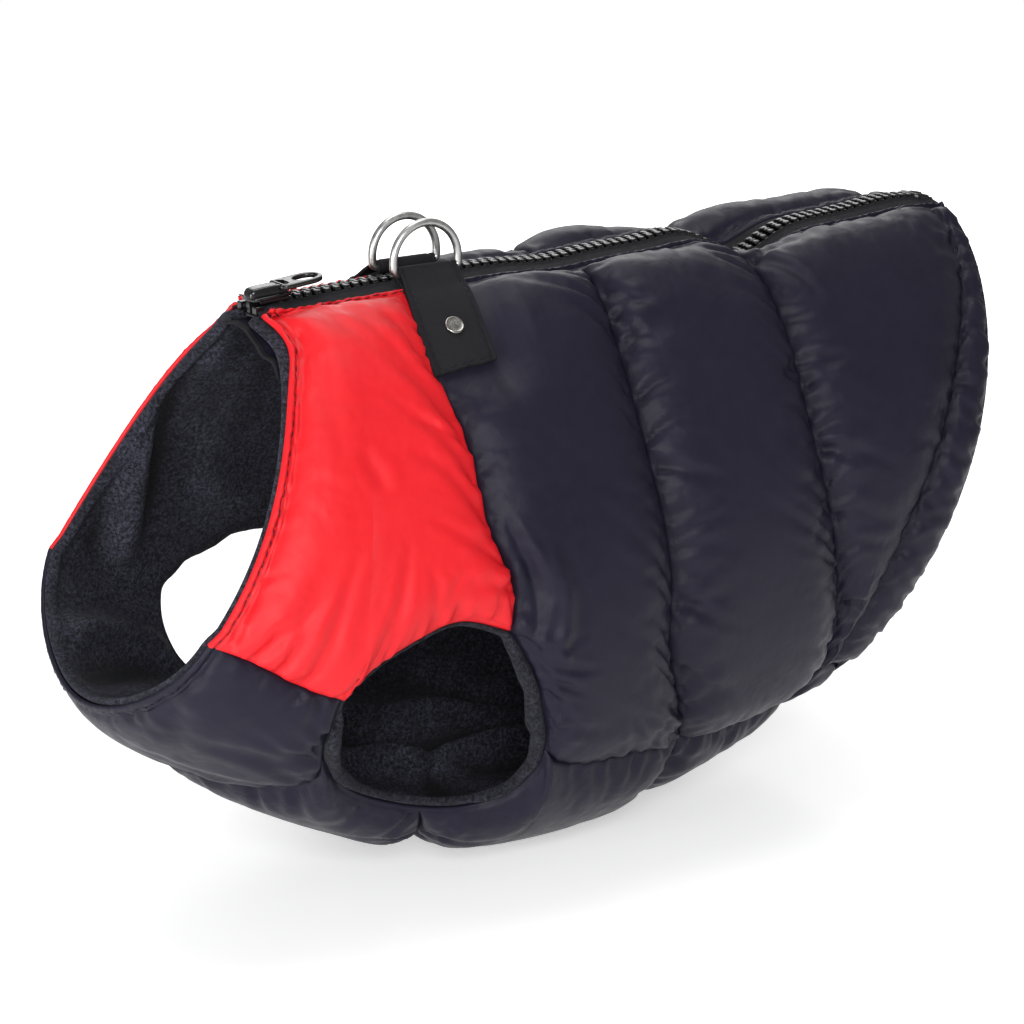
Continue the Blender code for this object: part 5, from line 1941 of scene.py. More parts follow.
def converted(obj: bpy.types.Object) -> bpy.types.Object:
    """The object with its curve or its modifiers turned into a plain mesh."""
    bpy.context.view_layer.update()
    graph = bpy.context.evaluated_depsgraph_get()
    mesh = bpy.data.meshes.new_from_object(obj.evaluated_get(graph))
    name = obj.name
    bpy.data.objects.remove(obj)
    mesh.name = name
    return in_scene(name, mesh)


def placed(obj: bpy.types.Object, turn: Matrix) -> bpy.types.Object:
    """The object's mesh moved to its place, with the object left at the origin."""
    obj.data.transform(turn)
    obj.data.update()
    return obj


def shaded(obj: bpy.types.Object, under: float) -> bpy.types.Object:
    """The object smooth, apart from edges sharper than this angle."""
    obj.data.shade_smooth()
    obj.data.set_sharp_from_angle(angle=math.radians(under))
    return obj


def hand_in(
    piece: bpy.types.Object, slot: str, finishes: dict[str, bpy.types.Material], body: str = BODY, *nodes: str
) -> None:
    """Gives a piece its slot's finish and its body, and hides the model's nodes that it stands for."""
    piece.data.materials.clear()
    piece.data.materials.append(finishes[slot])
    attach(piece, body)
    if nodes:
        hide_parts(*nodes)


# ---------------------------------------------------------------- rows of small things


class RowTree:
    """The Geometry Nodes tree that lays copies of one small thing along a path."""

    SOCKETS = {
        "Path": "NodeSocketObject",
        "Piece": "NodeSocketObject",
        "Pitch": "NodeSocketFloat",
        "Turn": "NodeSocketFloat",
        "Size": "NodeSocketFloat",
        "Jitter": "NodeSocketFloat",
        "Seed": "NodeSocketInt",
        "Finish": "NodeSocketMaterial",
    }
    TURN_GAIN = 1.4
    SIZE_SEED = 7

    def __init__(self) -> None:
        """Builds the tree."""
        self.tree = bpy.data.node_groups.new("row along a path", "GeometryNodeTree")
        self.sockets = {}
        for word, kind in self.SOCKETS.items():
            made = self.tree.interface.new_socket(word, in_out="INPUT", socket_type=kind)
            self.sockets[word] = made.identifier
        self.tree.interface.new_socket("Geometry", in_out="OUTPUT", socket_type="NodeSocketGeometry")
        graph = Graph(self.tree)
        given = graph.add("NodeGroupInput").outputs
        path = graph.add("GeometryNodeObjectInfo", {"Object": given["Path"]}).outputs["Geometry"]
        piece = graph.add("GeometryNodeObjectInfo", {"Object": given["Piece"]}).outputs["Geometry"]
        curve = graph.add("GeometryNodeMeshToCurve", {"Mesh": path}).outputs["Curve"]
        inputs = {"Curve": curve, "Length": given["Pitch"]}
        even = graph.add("GeometryNodeResampleCurve", inputs, mode="LENGTH")
        run = graph.add("GeometryNodeInputTangent").outputs[0]
        out = graph.add("GeometryNodeInputNamedAttribute", {"Name": "out"}, data_type="FLOAT_VECTOR")
        align = "FunctionNodeAlignRotationToVector"
        along = graph.add(align, {"Vector": run}, axis="X")
        inputs = {"Rotation": along.outputs[0], "Vector": out.outputs[0]}
        up = graph.add(align, inputs, axis="Z", pivot_axis="X")
        wobble = graph.math("MULTIPLY", self.uneven(graph, given, 0), self.TURN_GAIN)
        turn = graph.math("ADD", given["Turn"], wobble)
        axes = graph.add("ShaderNodeCombineXYZ", {"Z": turn}).outputs[0]
        turned = graph.add("FunctionNodeEulerToRotation", {0: axes}).outputs[0]
        inputs = {"Rotation": up.outputs[0], "Rotate By": turned}
        rotation = graph.add("FunctionNodeRotateRotation", inputs, rotation_space="LOCAL").outputs[0]
        size = graph.math("ADD", 1.0, self.uneven(graph, given, self.SIZE_SEED))
        size = graph.math("MULTIPLY", given["Size"], size)
        inputs = {"Points": even.outputs[0], "Instance": piece, "Rotation": rotation, "Scale": size}
        copies = graph.add("GeometryNodeInstanceOnPoints", inputs)
        real = graph.add("GeometryNodeRealizeInstances", {0: copies.outputs[0]})
        inputs = {"Geometry": real.outputs[0], "Material": given["Finish"]}
        finished = graph.add("GeometryNodeSetMaterial", inputs)
        graph.add("NodeGroupOutput", {"Geometry": finished.outputs[0]})

    def uneven(self, graph: Graph, given: bpy.types.NodeInputs, shift: int) -> bpy.types.NodeSocket:
        """A random number between -Jitter and Jitter for each copy."""
        seed = graph.math("ADD", given["Seed"], float(shift))
        low = graph.math("MULTIPLY", given["Jitter"], -1.0)
        random = graph.add("FunctionNodeRandomValue", {2: low, 3: given["Jitter"], "Seed": seed})
        return random.outputs[1]

    def lay(
        self,
        name: str,
        points: np.ndarray,
        out: np.ndarray,
        piece: bpy.types.Object,
        finish: bpy.types.Material,
        pitch: float,
        turn: float = 0.0,
        jitter: float = 0.03,
        seed: int = 1,
    ) -> bpy.types.Object:
        """Lays a row.

        Args:
            name: The row's name.
            points: The path, in millimetres.
            out: Which way is out, at each of its points.
            piece: What is laid, with its X along the path and its Z out.
            finish: The row's material.
            pitch: The distance from one copy to the next, in millimetres.
            turn: How far each copy is turned about its Z, in degrees.
            jitter: How uneven their turn and size are.
            seed: The unevenness's seed.

        Returns:
            The row, as one mesh.
        """
        path = bpy.data.meshes.new("path")
        path.from_pydata((points * MM).tolist(), [(i, i + 1) for i in range(len(points) - 1)], [])
        vectors = path.attributes.new("out", "FLOAT_VECTOR", "POINT")
        vectors.data.foreach_set("vector", out.astype(np.float32).reshape(-1))
        guide = in_scene("path", path)
        row = in_scene(name, bpy.data.meshes.new(name))
        nodes = row.modifiers.new("row", "NODES")
        nodes.node_group = self.tree
        values = {
            "Path": guide,
            "Piece": piece,
            "Pitch": pitch * MM,
            "Turn": math.radians(turn),
            "Size": 1.0,
            "Jitter": jitter,
            "Seed": seed,
            "Finish": finish,
        }
        for word, value in values.items():
            nodes[self.sockets[word]] = value
        row = converted(row)
        bpy.data.objects.remove(guide)
        row.data.shade_smooth()
        return row


@dataclass
class Stitching:
    """Rows of machine stitches, sewn with the dark nylon's thread."""

    finishes: dict[str, bpy.types.Material]
    slot: str = "dark_nylon"
    length: float = 2.3
    thick: float = 0.34
    pitch: float = 2.9
    dip: float = 0.55
    jitter: float = 0.05
    points: int = 7
    sides: int = 6
    rows: RowTree = field(default_factory=RowTree)
    count: int = 0
    stitch: bpy.types.Object = field(init=False)

    def __post_init__(self) -> None:
        """Makes the one stitch that is laid: a short bar of thread whose ends dip into the cloth."""
        steps = np.linspace(-1, 1, self.points)
        drop = -self.dip * self.thick * steps**4
        path = np.stack([steps * self.length / 2, 0 * steps, drop], axis=1)
        aside, out = directions(path, np.tile((0.0, 0.0, 1.0), (self.points, 1)))
        taper = np.sqrt(np.clip(1 - 0.85 * steps**6, 0.05, 1))
        shape = circle(self.thick / 2, self.sides)[None] * taper[:, None, None]
        self.stitch = combined("stitch", [swept(path, aside, out, shape)])

    def row(self, name: str, points: np.ndarray, out: np.ndarray, turn: float) -> None:
        """Sews a row along a line on the cloth.

        Args:
            name: The row's name.
            points: The line, in millimetres.
            out: Unit vectors off the cloth along it.
            turn: How far each stitch slants, in degrees.
        """
        self.count += 1
        thread = (self.stitch, self.finishes[self.slot], self.pitch)
        piece = self.rows.lay(name, points, out, *thread, turn, self.jitter, self.count)
        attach(piece, BODY)

    def done(self) -> None:
        """Removes the stitch that was copied."""
        bpy.data.objects.remove(self.stitch)


# ---------------------------------------------------------------- the zip


@dataclass
class Zip:
    """The zip along the back: tapes, teeth, slider, pull, stops and the guard strip under it.

    Arcs are distances from the middle of the zip along the cloth, and heights are over the form. The
    cap is the slider's housing. The cap, the pull, the box and the stops are given as length, width and
    height. The guard hangs free near the neck and waves there.
    """

    pattern: Pattern
    finishes: dict[str, bpy.types.Material]
    length: float = 242.7
    pitch: float = 3.0
    tape_arcs: tuple[float, float] = (3.0, 8.5)
    tape_heights: tuple[float, float] = (1.15, 0.35)
    cord_at: float = 3.5
    cord: float = 0.55
    teeth_low: float = -0.6
    teeth_high: float = 2.2
    teeth_hidden: float = 3.4
    slider_x: float = -50.5
    slider_length: float = 12.0
    slider_width: float = 8.4
    plate: float = 1.1
    mouth: float = 3.4
    cap: tuple[float, float, float] = (12.0, 5.4, 2.9)
    cap_sunk: float = 0.4
    pin_back: float = 4.2
    pin_radius: float = 0.8
    pin_ends: float = 0.9
    pull: tuple[float, float, float] = (14.2, 9.2, 1.4)
    pull_edge: float = 0.45
    eye: tuple[float, float] = (7.2, 5.6)
    near_end: float = 1.1
    rim: float = 1.3
    tilt: float = 2.0
    guard_front: tuple = ((0, -0.15), (8, -0.13), (16, -0.055), (24, 0.055), (27, 0.09))
    guard_arc: float = 27.0
    guard_lap: float = 8.0
    guard_drop: float = 3.2
    guard_wall: tuple[float, float] = (0.3, 0.25)
    guard_free: tuple[float, float] = (2.0, 22.0)
    guard_fall: float = 1.4
    guard_waves: tuple[tuple[float, float, float], ...] = ((0.7, 2.1, 0.6), (0.5, 1.3, 0.0))
    guard_reach: float = 0.32
    binding: tuple[float, float] = (1.05, 0.62)
    binding_pinch: tuple[float, float] = (0.45, 0.3)
    box: tuple[float, float, float] = (6.0, 8.6, 2.6)
    box_inset: float = 1.0
    box_gap: float = 0.6
    box_sag: float = 5.0
    stop: tuple[float, float, float] = (2.4, 2.2, 2.4)
    stop_arc: float = 4.2
    stop_height: float = 0.9
    stop_back: float = 0.012
    neck_x: float = -56.0

    @property
    def form(self) -> VestForm:
        """The surface that the zip lies on."""
        return self.pattern.form

    @property
    def chain_height(self) -> float:
        """The height of the teeth's middle over the surface."""
        return (self.teeth_low + self.teeth_high) / 2

    def build(self, rows: RowTree) -> None:
        """Makes all of the zip."""
        self.make_tapes()
        self.make_teeth(rows)
        self.make_slider()
        self.make_pull()
        self.make_stops()
        self.make_guard()

    def frame_at(self, x: float) -> Matrix:
        """The zip's place at this X, with its own X along the zip."""
        along = self.form.along_at(x)
        here = self.form.point(along, 0.0)
        ahead = self.form.point(along + 0.02, 0.0) - self.form.point(along - 0.02, 0.0)
        lean = Matrix.Rotation(-math.atan2(ahead[2], ahead[0]), 4, "Y")
        return Matrix.Translation(Vector(here) * MM) @ lean

    def make_tapes(self) -> None:
        """The two woven tapes, each with a corded edge that the teeth hold."""
        start, end = self.pattern.seam_tops[0], self.pattern.seam_tops[-1]
        arcs = np.linspace(*self.tape_arcs, 12)
        places = np.array([self.pattern.zip_line(start, end, 150, arc) for arc in arcs])
        cord = self.cord * bell(arcs, self.cord_at, self.cord)
        outer = self.form.raised(places, (self.tape_heights[0] + cord)[:, None])
        inner = self.form.raised(places, (self.tape_heights[1] - 0.3 * cord)[:, None])
        for side in Side:
            skins = (outer, inner) if side is Side.LEFT else (mirrored(outer), mirrored(inner))
            tape = shell_object(f"{side.word}_tape", *skins, {})
            hand_in(tape, "zip_tape", self.finishes, BODY, f"{side.word}_zip_tape")

    def tooth(self) -> bpy.types.Object:
        """One moulded tooth: a foot on the tape, a neck, and a head that reaches past the middle."""
        neck = [(-0.95, 2.9), (-0.95, 1.35), (-0.62, 1.0), (-0.55, 0.45)]
        half = neck + [(-0.80, 0.05), (-0.80, -0.5), (-0.5, -0.9)]
        outline = half + [(-x, y) for x, y in half[::-1]]
        body = rounded_plate(outline, -1.4, 1.4, 0.42, 2)
        peg = rounded_plate([(-0.45, -1.15), (0.45, -1.15), (0.45, 0.0), (-0.45, 0.0)], -0.5, 0.5, 0.2, 1)
        foot = rounded_plate([(-0.72, 2.6), (0.72, 2.6), (0.72, 3.9), (-0.72, 3.9)], -0.9, 0.9, 0.3, 1)
        return combined("tooth", [body, peg, foot])

    def make_teeth(self, rows: RowTree) -> None:
        """Both rows of teeth, closed, with each row half a pitch behind the other."""
        start = self.slider_x + self.slider_length / 2 - self.teeth_hidden
        end = self.form.sections[-1].top_x - self.box_inset - self.box[0] - self.box_gap
        tooth = self.tooth()
        for side, shift, turn in ((Side.LEFT, 0.0, 180.0), (Side.RIGHT, self.pitch / 2, 0.0)):
            steps = np.linspace(self.form.along_at(start + shift), self.form.along_at(end), 260)
            places = np.stack([steps, 0 * steps], axis=-1)
            points, out = self.form.raised(places, self.chain_height), self.form.normal(steps, 0 * steps)
            plastic = self.finishes["zip_plastic"]
            row = rows.lay(f"{side.word}_teeth", points, out, tooth, plastic, self.pitch, turn, 0.0)
            shaded(row, 50)
            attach(row, BODY)
            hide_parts("zip_chain")
        bpy.data.objects.remove(tooth)

    def make_slider(self) -> None:
        """The slider: two plates joined at the front, flanged sides, and the arched housing on top."""
        top, low = self.chain_height + self.mouth / 2, self.chain_height - self.mouth / 2
        half, wide = self.slider_length / 2, self.slider_width / 2
        front = [(-half, -1.0), (-half + 0.5, -wide + 0.6), (-half + 1.6, -wide)]
        upper = front + [(0.5, -wide), (half, -wide + 0.9)]
        outline = upper + [(x, -y) for x, y in upper[::-1]]
        parts = [
            rounded_plate(outline, top, top + self.plate, 0.35),
            rounded_plate(outline, low - self.plate, low, 0.35),
        ]
        post = [(0.3, -0.9), (2.6, -1.3), (4.5, 0.0), (2.6, 1.3), (0.3, 0.9)]
        post = [(x - half, y) for x, y in post]
        parts.append(rounded_plate(post, low - 0.1, top + 0.1, 0.1, 1))
        for side in (-1, 1):
            strip = [(-half + 2.2, 0.0), (half - 0.9, 0.0), (half - 0.9, 0.8), (-half + 2.2, 0.8)]
            edge = [(x, side * (wide - 0.85) + side * y) for x, y in strip]
            edge = edge if side > 0 else edge[::-1]
            parts.append(rounded_plate(edge, top - 0.75, top + 0.2, 0.2, 2))
            parts.append(rounded_plate(edge, low - 0.2, low + 0.6, 0.2, 2))
        parts.append(self.housing(top + self.plate - self.cap_sunk))
        slider = shaded(combined("slider_body", parts), 40)
        placed(slider, self.frame_at(self.slider_x))
        hand_in(slider, "zip_plastic", self.finishes, BODY, "zip_slider")

    def housing(self, foot: float) -> tuple:
        """The rounded housing that holds the pull's pin, with a raised rim round its top."""
        length, width, height = self.cap
        shares = np.sin(np.linspace(-math.pi / 2, math.pi / 2, 19))
        turns = np.linspace(0, math.pi, 17)
        rings = []
        for share in shares:
            x = share * length / 2
            lower_rear = 1 - 0.22 * np.clip(share, 0, 1) ** 2
            rise = height * lower_rear * max(1 - abs(share) ** 5, 0.0) ** (1 / 3)
            half = width / 2 * max(1 - abs(share) ** 6, 0.0) ** (1 / 4) + 0.02
            cosine, sine = np.cos(turns), np.sin(turns)
            y = half * np.sign(cosine) * np.abs(cosine) ** 0.45
            dish = 0.22 * np.exp(-((y / (0.55 * width / 2)) ** 4)) * (1 - abs(share) ** 4)
            z = foot + np.maximum(rise * np.abs(sine) ** 0.5 - dish * (sine > 0.5), 0.0)
            ring = np.column_stack([np.full(len(turns), x), y, z])
            rings.append(np.concatenate([ring, [(x, 0.0, foot - 0.15)]]))
        return np.concatenate(rings), ring_faces(len(turns) + 1, len(rings))

    def pull_curves(self) -> tuple[list[tuple[float, float]], np.ndarray]:
        """The pull's outline and the outline of its eye, each an edge's radius inside the plastic."""
        length, width, _ = self.pull
        half = width / 2 - self.pull_edge
        tip, near = length - self.near_end - self.pull_edge, -self.near_end + self.pull_edge
        turns = np.linspace(-math.pi / 2, math.pi / 2, 33)
        shoulder = [(near, half - 0.9), (near + 0.6, half - 0.25), (near + 1.3, half)]
        outline = [(x, -y) for x, y in shoulder]
        outline += [(tip - half + half * math.cos(turn), half * math.sin(turn)) for turn in turns]
        outline += shoulder[::-1]
        middle = length - self.near_end - self.rim - self.eye[0] / 2
        return outline, circle(1.0, 48) * (np.array(self.eye) / 2 + self.pull_edge) + (middle, 0.0)

    def make_pull(self) -> None:
        """The pull: its pin, two arms beside the housing, and the long oval eye."""
        curve = bpy.data.curves.new("pull_tab", "CURVE")
        curve.dimensions, curve.fill_mode = "2D", "BOTH"
        curve.extrude = (self.pull[2] / 2 - self.pull_edge) * MM
        curve.bevel_depth, curve.bevel_resolution = self.pull_edge * MM, 3
        for points in self.pull_curves():
            spline = curve.splines.new("POLY")
            spline.points.add(len(points) - 1)
            for point, (x, y) in zip(spline.points, points):
                point.co = (x * MM, y * MM, 0, 1)
            spline.use_cyclic_u = True
        body = facing_out(converted(in_scene("pull_tab", curve)), WELD)
        gap = self.cap[1] / 2 + 0.4
        slot_end = self.cap[0] / 2 - self.pin_back + 0.6
        corners = [(-6.0, -gap), (slot_end - 1.2, -gap), (slot_end, -gap + 1.2)]
        corners += [(x, -y) for x, y in corners[::-1]]
        slot = combined("slot", [rounded_plate(corners, -3, 3, 0.05, 1)])
        cut = body.modifiers.new("slot", "BOOLEAN")
        cut.operation, cut.object = "DIFFERENCE", slot
        body = facing_out(converted(body), WELD)
        bpy.data.objects.remove(slot)
        reach = gap + self.pin_ends
        path = np.array([(0.0, y, 0.0) for y in np.linspace(-reach, reach, 5)])
        aside, out = directions(path, np.tile((0.0, 0.0, 1.0), (len(path), 1)))
        pin = combined("pin", [swept(path, aside, out, circle(self.pin_radius, 20))])
        merged = bmesh.new()
        merged.from_mesh(body.data)
        merged.from_mesh(pin.data)
        merged.to_mesh(body.data)
        merged.free()
        bpy.data.objects.remove(pin)
        height = self.chain_height + self.mouth / 2 + self.plate + self.cap[2] / 2
        pin_at = Matrix.Translation(Vector((self.pin_back, 0, height)) * MM)
        turn = Matrix.Rotation(math.radians(-self.tilt), 4, "Y")
        placed(shaded(body, 40), self.frame_at(self.slider_x) @ pin_at @ turn)
        hand_in(body, "zip_plastic", self.finishes, "zip_pull", "zip_pull")

    def make_stops(self) -> None:
        """The stop box at the rear end, and the small stop on each tape's front end."""
        length, width, height = self.box
        half, wide = length / 2, width / 2
        outline = [(-half, -wide + 0.8), (-half + 0.8, -wide), (half - 0.8, -wide), (half, -wide + 0.8)]
        outline += [(x, -y) for x, y in outline[::-1]]
        foot = self.tape_heights[0] - 1.1
        ridge = [(-half + 1.4, -1.0), (half - 1.0, -1.0), (half - 1.0, 1.0), (-half + 1.4, 1.0)]
        base = rounded_plate(outline, foot, foot + height - 0.4, 0.6)
        end_box = shaded(combined("end_stop", [base, rounded_plate(ridge, foot, foot + height, 0.4)]), 40)
        sag = Matrix.Rotation(math.radians(self.box_sag), 4, "Y")
        placed(end_box, self.frame_at(self.form.sections[-1].top_x - self.box_inset - half) @ sag)
        hand_in(end_box, "zip_plastic", self.finishes, BODY, "zip_end_box")
        x, y, z = (size / 2 for size in self.stop)
        square = [(-x, -y), (x, -y), (x, y), (-x, y)]
        lean = self.frame_at(self.neck_x).to_3x3().to_4x4()
        place = self.form.beside_zip(self.pattern.seam_tops[0] + self.stop_back, self.stop_arc)
        for side in Side:
            stop = shaded(combined(f"{side.word}_top_stop", [rounded_plate(square, -z, z, 0.4)]), 40)
            here = self.form.raised(np.array([place]), self.stop_height)[0] * (1, -side.value, 1)
            placed(stop, Matrix.Translation(Vector(here) * MM) @ lean)
            hand_in(stop, "zip_plastic", self.finishes)

    def make_guard(self) -> None:
        """The loose strip under the zip, with a bound edge at the neck."""
        end = self.pattern.seam_tops[-1]
        arcs = np.concatenate([np.linspace(-self.guard_lap, 0.0, 7), np.linspace(1.2, self.guard_arc, 22)])
        shares = np.concatenate([(0.0, 0.002, 0.005, 0.009), np.linspace(0.015, 1, 90)])
        starts = np.interp(np.abs(arcs), *zip(*self.guard_front))[:, None]
        steps = starts + (end - starts) * shares
        fall = [[self.form.beside_zip(step, abs(arc))[1] for step in row] for arc, row in zip(arcs, steps)]
        places = np.stack([steps, np.array(fall)], axis=-1)
        held, loose = self.guard_free
        free = np.clip((arcs - held) / loose, 0, 1)[:, None]
        wave = sum(size * np.sin(arcs / length + shift) for size, length, shift in self.guard_waves)
        hanging = self.guard_fall * free + np.sqrt(free) * wave[:, None]
        drop = self.guard_drop + bell(steps, starts, self.guard_reach) * hanging
        outer = self.form.raised(places, -drop + self.guard_wall[0])
        inner = self.form.raised(places, -drop - self.guard_wall[1])
        flip = (arcs < 0)[:, None, None]
        outer, inner = (np.where(flip, mirrored(grid), grid) for grid in (outer, inner))
        # An even near_seam of 0.3 gives the strip a little painted seam shade and crinkle.
        strip = shell_object("guard_strip", outer, inner, {"near_seam": np.full(drop.shape, 0.3)}, 0.5)
        hand_in(strip, "dark_nylon", self.finishes, BODY, "zip_guard")
        path = (outer[:, 0] + inner[:, 0]) / 2
        aside, out = directions(path, unit(outer[:, 0] - inner[:, 0]))
        hull = circle(1.0, 16) * self.binding
        depth, width = self.binding_pinch
        pinch = 1 - depth * bell(hull[:, 0], 0.0, width)
        section = hull * np.stack([np.ones(len(hull)), pinch], axis=1)
        binding = combined("guard_binding", [swept(path, aside, out, section)])
        hand_in(binding, "zip_tape", self.finishes)


# ---------------------------------------------------------------- straps and rings


@dataclass
class RingStraps:
    """On each side a steel D-ring, the strap folded round its bar, and the rivet through the strap.

    The strap's upper layer is pressed onto the lower one at pressed_at, measured down the panel, and its
    fold turns round the ring's bar. inside is a point within the vest.
    """

    panels: PaddedPanels
    finishes: dict[str, bpy.types.Material]
    ring_at: tuple[float, float, float] = (-3.2, 5.8, 6.288)
    half_width: float = 10.5
    leg: float = 3.2
    corner: float = 1.6
    wire: float = 1.18
    width: float = 18.4
    length: float = 33.0
    layer: float = 0.8
    fold: float = 1.72
    fold_turns: tuple[float, float] = (-105.0, -330.0)
    fold_steps: int = 24
    brow: float = 0.35
    gap: float = 0.3
    layers_apart: float = 0.12
    panel_inset: float = 0.25
    pressed_at: float = 5.6
    pressed: float = 0.25
    stitch_inset: float = 1.25
    stitch_columns: int = 4
    stitch_height: float = 0.06
    groove: float = 0.3
    groove_width: float = 0.42
    rivet_down: float = 22.0
    rivet_sides: int = 36
    inside: tuple[float, float, float] = (30.0, 0.0, -80.0)

    def build(self, stitching: Stitching) -> None:
        """Makes both sides."""
        for side in Side:
            self.make_ring(side)
            upper, normals = self.make_strap(side)
            self.sew(side, upper, normals, stitching)
            self.make_rivet(side, upper, normals)

    def make_ring(self, side: Side) -> None:
        """The ring, upright on its bar."""
        half, corner = self.half_width, self.corner
        foot = np.radians(np.linspace(-90, 0, 9))
        arch = np.linspace(0, math.pi, 49)
        right = np.stack([half - corner + corner * np.cos(foot), corner + corner * np.sin(foot)], axis=1)
        over = np.stack([half * np.cos(arch), self.leg + half * np.sin(arch)], axis=1)
        bar = np.linspace(-half + corner, half - corner, 9)[1:-1]
        flat = np.concatenate([right, over, (right * (-1, 1))[::-1], np.stack([bar, 0 * bar], axis=1)])
        path = np.stack([flat[:, 0], 0 * flat[:, 0], flat[:, 1]], axis=1)
        path += (self.ring_at[0], side.value * self.ring_at[1], self.ring_at[2])
        aside, out = directions(path, np.tile((0.0, 1.0, 0.0), (len(path), 1)), loop=True)
        wire = swept(path, aside, out, circle(self.wire, 18), loop=True)
        ring = combined(f"{side.word}_d_ring", [wire])
        hand_in(ring, "satin_steel", self.finishes, f"{side.word}_ring", f"{side.word}_ring")

    def on_panel(self) -> tuple[np.ndarray, np.ndarray, np.ndarray]:
        """Points of the left front panel under the strap, the way off it, and the distances across."""
        face = self.panels.plain["left_body_1"]
        near_edge = [0, 0.3, 0.6, 0.9, 1.25, 1.6, 2.0]
        across_at = np.concatenate([near_edge, np.linspace(2.8, self.width / 2, 7)])
        across_at = np.concatenate([across_at, self.width - across_at[-2::-1]])
        rows, outs = [], []
        for points, normals in zip(face, grid_normals(face)):
            lengths = lengths_along(points)
            rows.append(read_line(points, lengths, across_at + self.panel_inset))
            outs.append(read_line(normals, lengths, across_at + self.panel_inset))
        return np.array(rows), np.array(outs), across_at

    def middle_grid(self) -> tuple[np.ndarray, int]:
        """The left strap's middle surface, from its lower end round the bar to its upper end.

        Returns:
            The grid, and the row where the upper layer starts to lie on the lower one.
        """
        rows, outs, across_at = self.on_panel()
        near_end = self.length - np.array((0.8, 0.4, 0.0))
        down_at = np.concatenate([np.linspace(self.pressed_at, self.length - 2, 24), near_end])
        low = self.gap + self.layer / 2
        high = low + self.layer + self.layers_apart
        turns = np.radians(np.linspace(*self.fold_turns, self.fold_steps))
        neck_shares, brow_shares = (0.35, 0.7), (0.3, 0.6, 0.85)
        columns = []
        for k, offset in enumerate(across_at):
            lengths = lengths_along(rows[:, k])
            x = self.ring_at[0] - self.width / 2 + offset
            bar = np.array((x, -self.ring_at[1], self.ring_at[2]))
            on, out = (read_line(line[:, k], lengths, down_at) for line in (rows, outs))
            loop = bar + self.fold * np.stack([0 * turns, -np.cos(turns), np.sin(turns)], axis=1)
            lower = (on + out * low)[::-1]
            upper = on + out * high
            neck = [lower[-1] * (1 - t) + loop[0] * t for t in neck_shares]
            swell = out[0] * self.brow
            brow = [loop[-1] * (1 - t) + upper[0] * t + swell * math.sin(math.pi * t) for t in brow_shares]
            columns.append(np.concatenate([lower, neck, loop, brow, upper]))
        grid = np.stack(columns, axis=1)
        start = len(down_at) + len(neck_shares) + self.fold_steps + len(brow_shares)
        for _ in range(3):
            grid[1:-1] = 0.5 * grid[1:-1] + 0.25 * (grid[:-2] + grid[2:])
        dip = bell(np.arange(len(grid)), start, 1.3) * self.pressed
        return grid - self.outward(grid, start) * dip[:, None, None], start

    def outward(self, grid: np.ndarray, row: int) -> np.ndarray:
        """The grid's normals, turned so that the upper layer's, from this row on, point off the vest."""
        normals = grid_normals(grid)
        spot = (row + 4, grid.shape[1] // 2)
        return normals * np.sign(normals[spot] @ (grid[spot] - np.array(self.inside)))

    def make_strap(self, side: Side) -> tuple[np.ndarray, np.ndarray]:
        """The strap. Returns the outer face of its upper layer, from the fold down, and the way off it."""
        grid, start = self.middle_grid()
        normals = self.outward(grid, start)
        width = lengths_along(grid[start + 8])
        edge = np.minimum(width, width[-1] - width)
        groove = self.groove * bell(edge, self.stitch_inset, self.groove_width)
        outer = grid + normals * (self.layer / 2 - groove)[None, :, None]
        inner = grid - normals * self.layer / 2
        if side is Side.RIGHT:
            outer, inner, normals = mirrored(outer), mirrored(inner), mirrored(normals)
        strap = shell_object(f"{side.word}_ring_strap", outer, inner, {}, 0.25)
        hand_in(strap, "strap", self.finishes, BODY, f"{side.word}_ring_tab")
        cut = float(lengths_along(grid[:, grid.shape[1] // 2])[-1])
        log.info("%s strap: cut %.1f by %.1f mm", side.word, self.width, cut)
        return outer[start:], normals[start:]

    def sew(self, side: Side, upper: np.ndarray, normals: np.ndarray, stitching: Stitching) -> None:
        """The stitches round the strap's edges."""
        first, last = self.stitch_columns, upper.shape[1] - 1 - self.stitch_columns
        foot = -3
        line, out = (
            np.concatenate([grid[1:foot, first], grid[foot, first : last + 1], grid[1:foot, last][::-1]])
            for grid in (upper, normals)
        )
        stitching.row(f"{side.word}_strap_stitches", line + out * self.stitch_height, out, 0.0)

    def make_rivet(self, side: Side, upper: np.ndarray, normals: np.ndarray) -> None:
        """The rivet's cap: a shallow dish with a rounded rim."""
        middle = upper.shape[1] // 2
        down = lengths_along(upper[:, middle]) + self.pressed_at
        row = int(np.argmin(np.abs(down - self.rivet_down)))
        at, out = upper[row, middle], normals[row, middle]
        profile = [(1.2, 0.72), (2.0, 0.70), (2.25, 0.74), (2.42, 0.80), (2.6, 0.76), (2.74, 0.60)]
        profile += [(2.8, 0.3), (2.8, -0.2), (2.2, -0.3)]
        sides = self.rivet_sides
        rings = [np.column_stack([circle(wide, sides), np.full(sides, high)]) for wide, high in profile]
        dish = (np.concatenate(rings), ring_faces(sides, len(rings)))
        rivet = shaded(combined(f"{side.word}_rivet_cap", [dish]), 50)
        turn = Vector(out).to_track_quat("Z", "Y").to_matrix().to_4x4()
        placed(rivet, Matrix.Translation(Vector(at) * MM) @ turn)
        hand_in(rivet, "nickel", self.finishes, BODY, f"{side.word}_rivet")


# ---------------------------------------------------------------- armhole edges


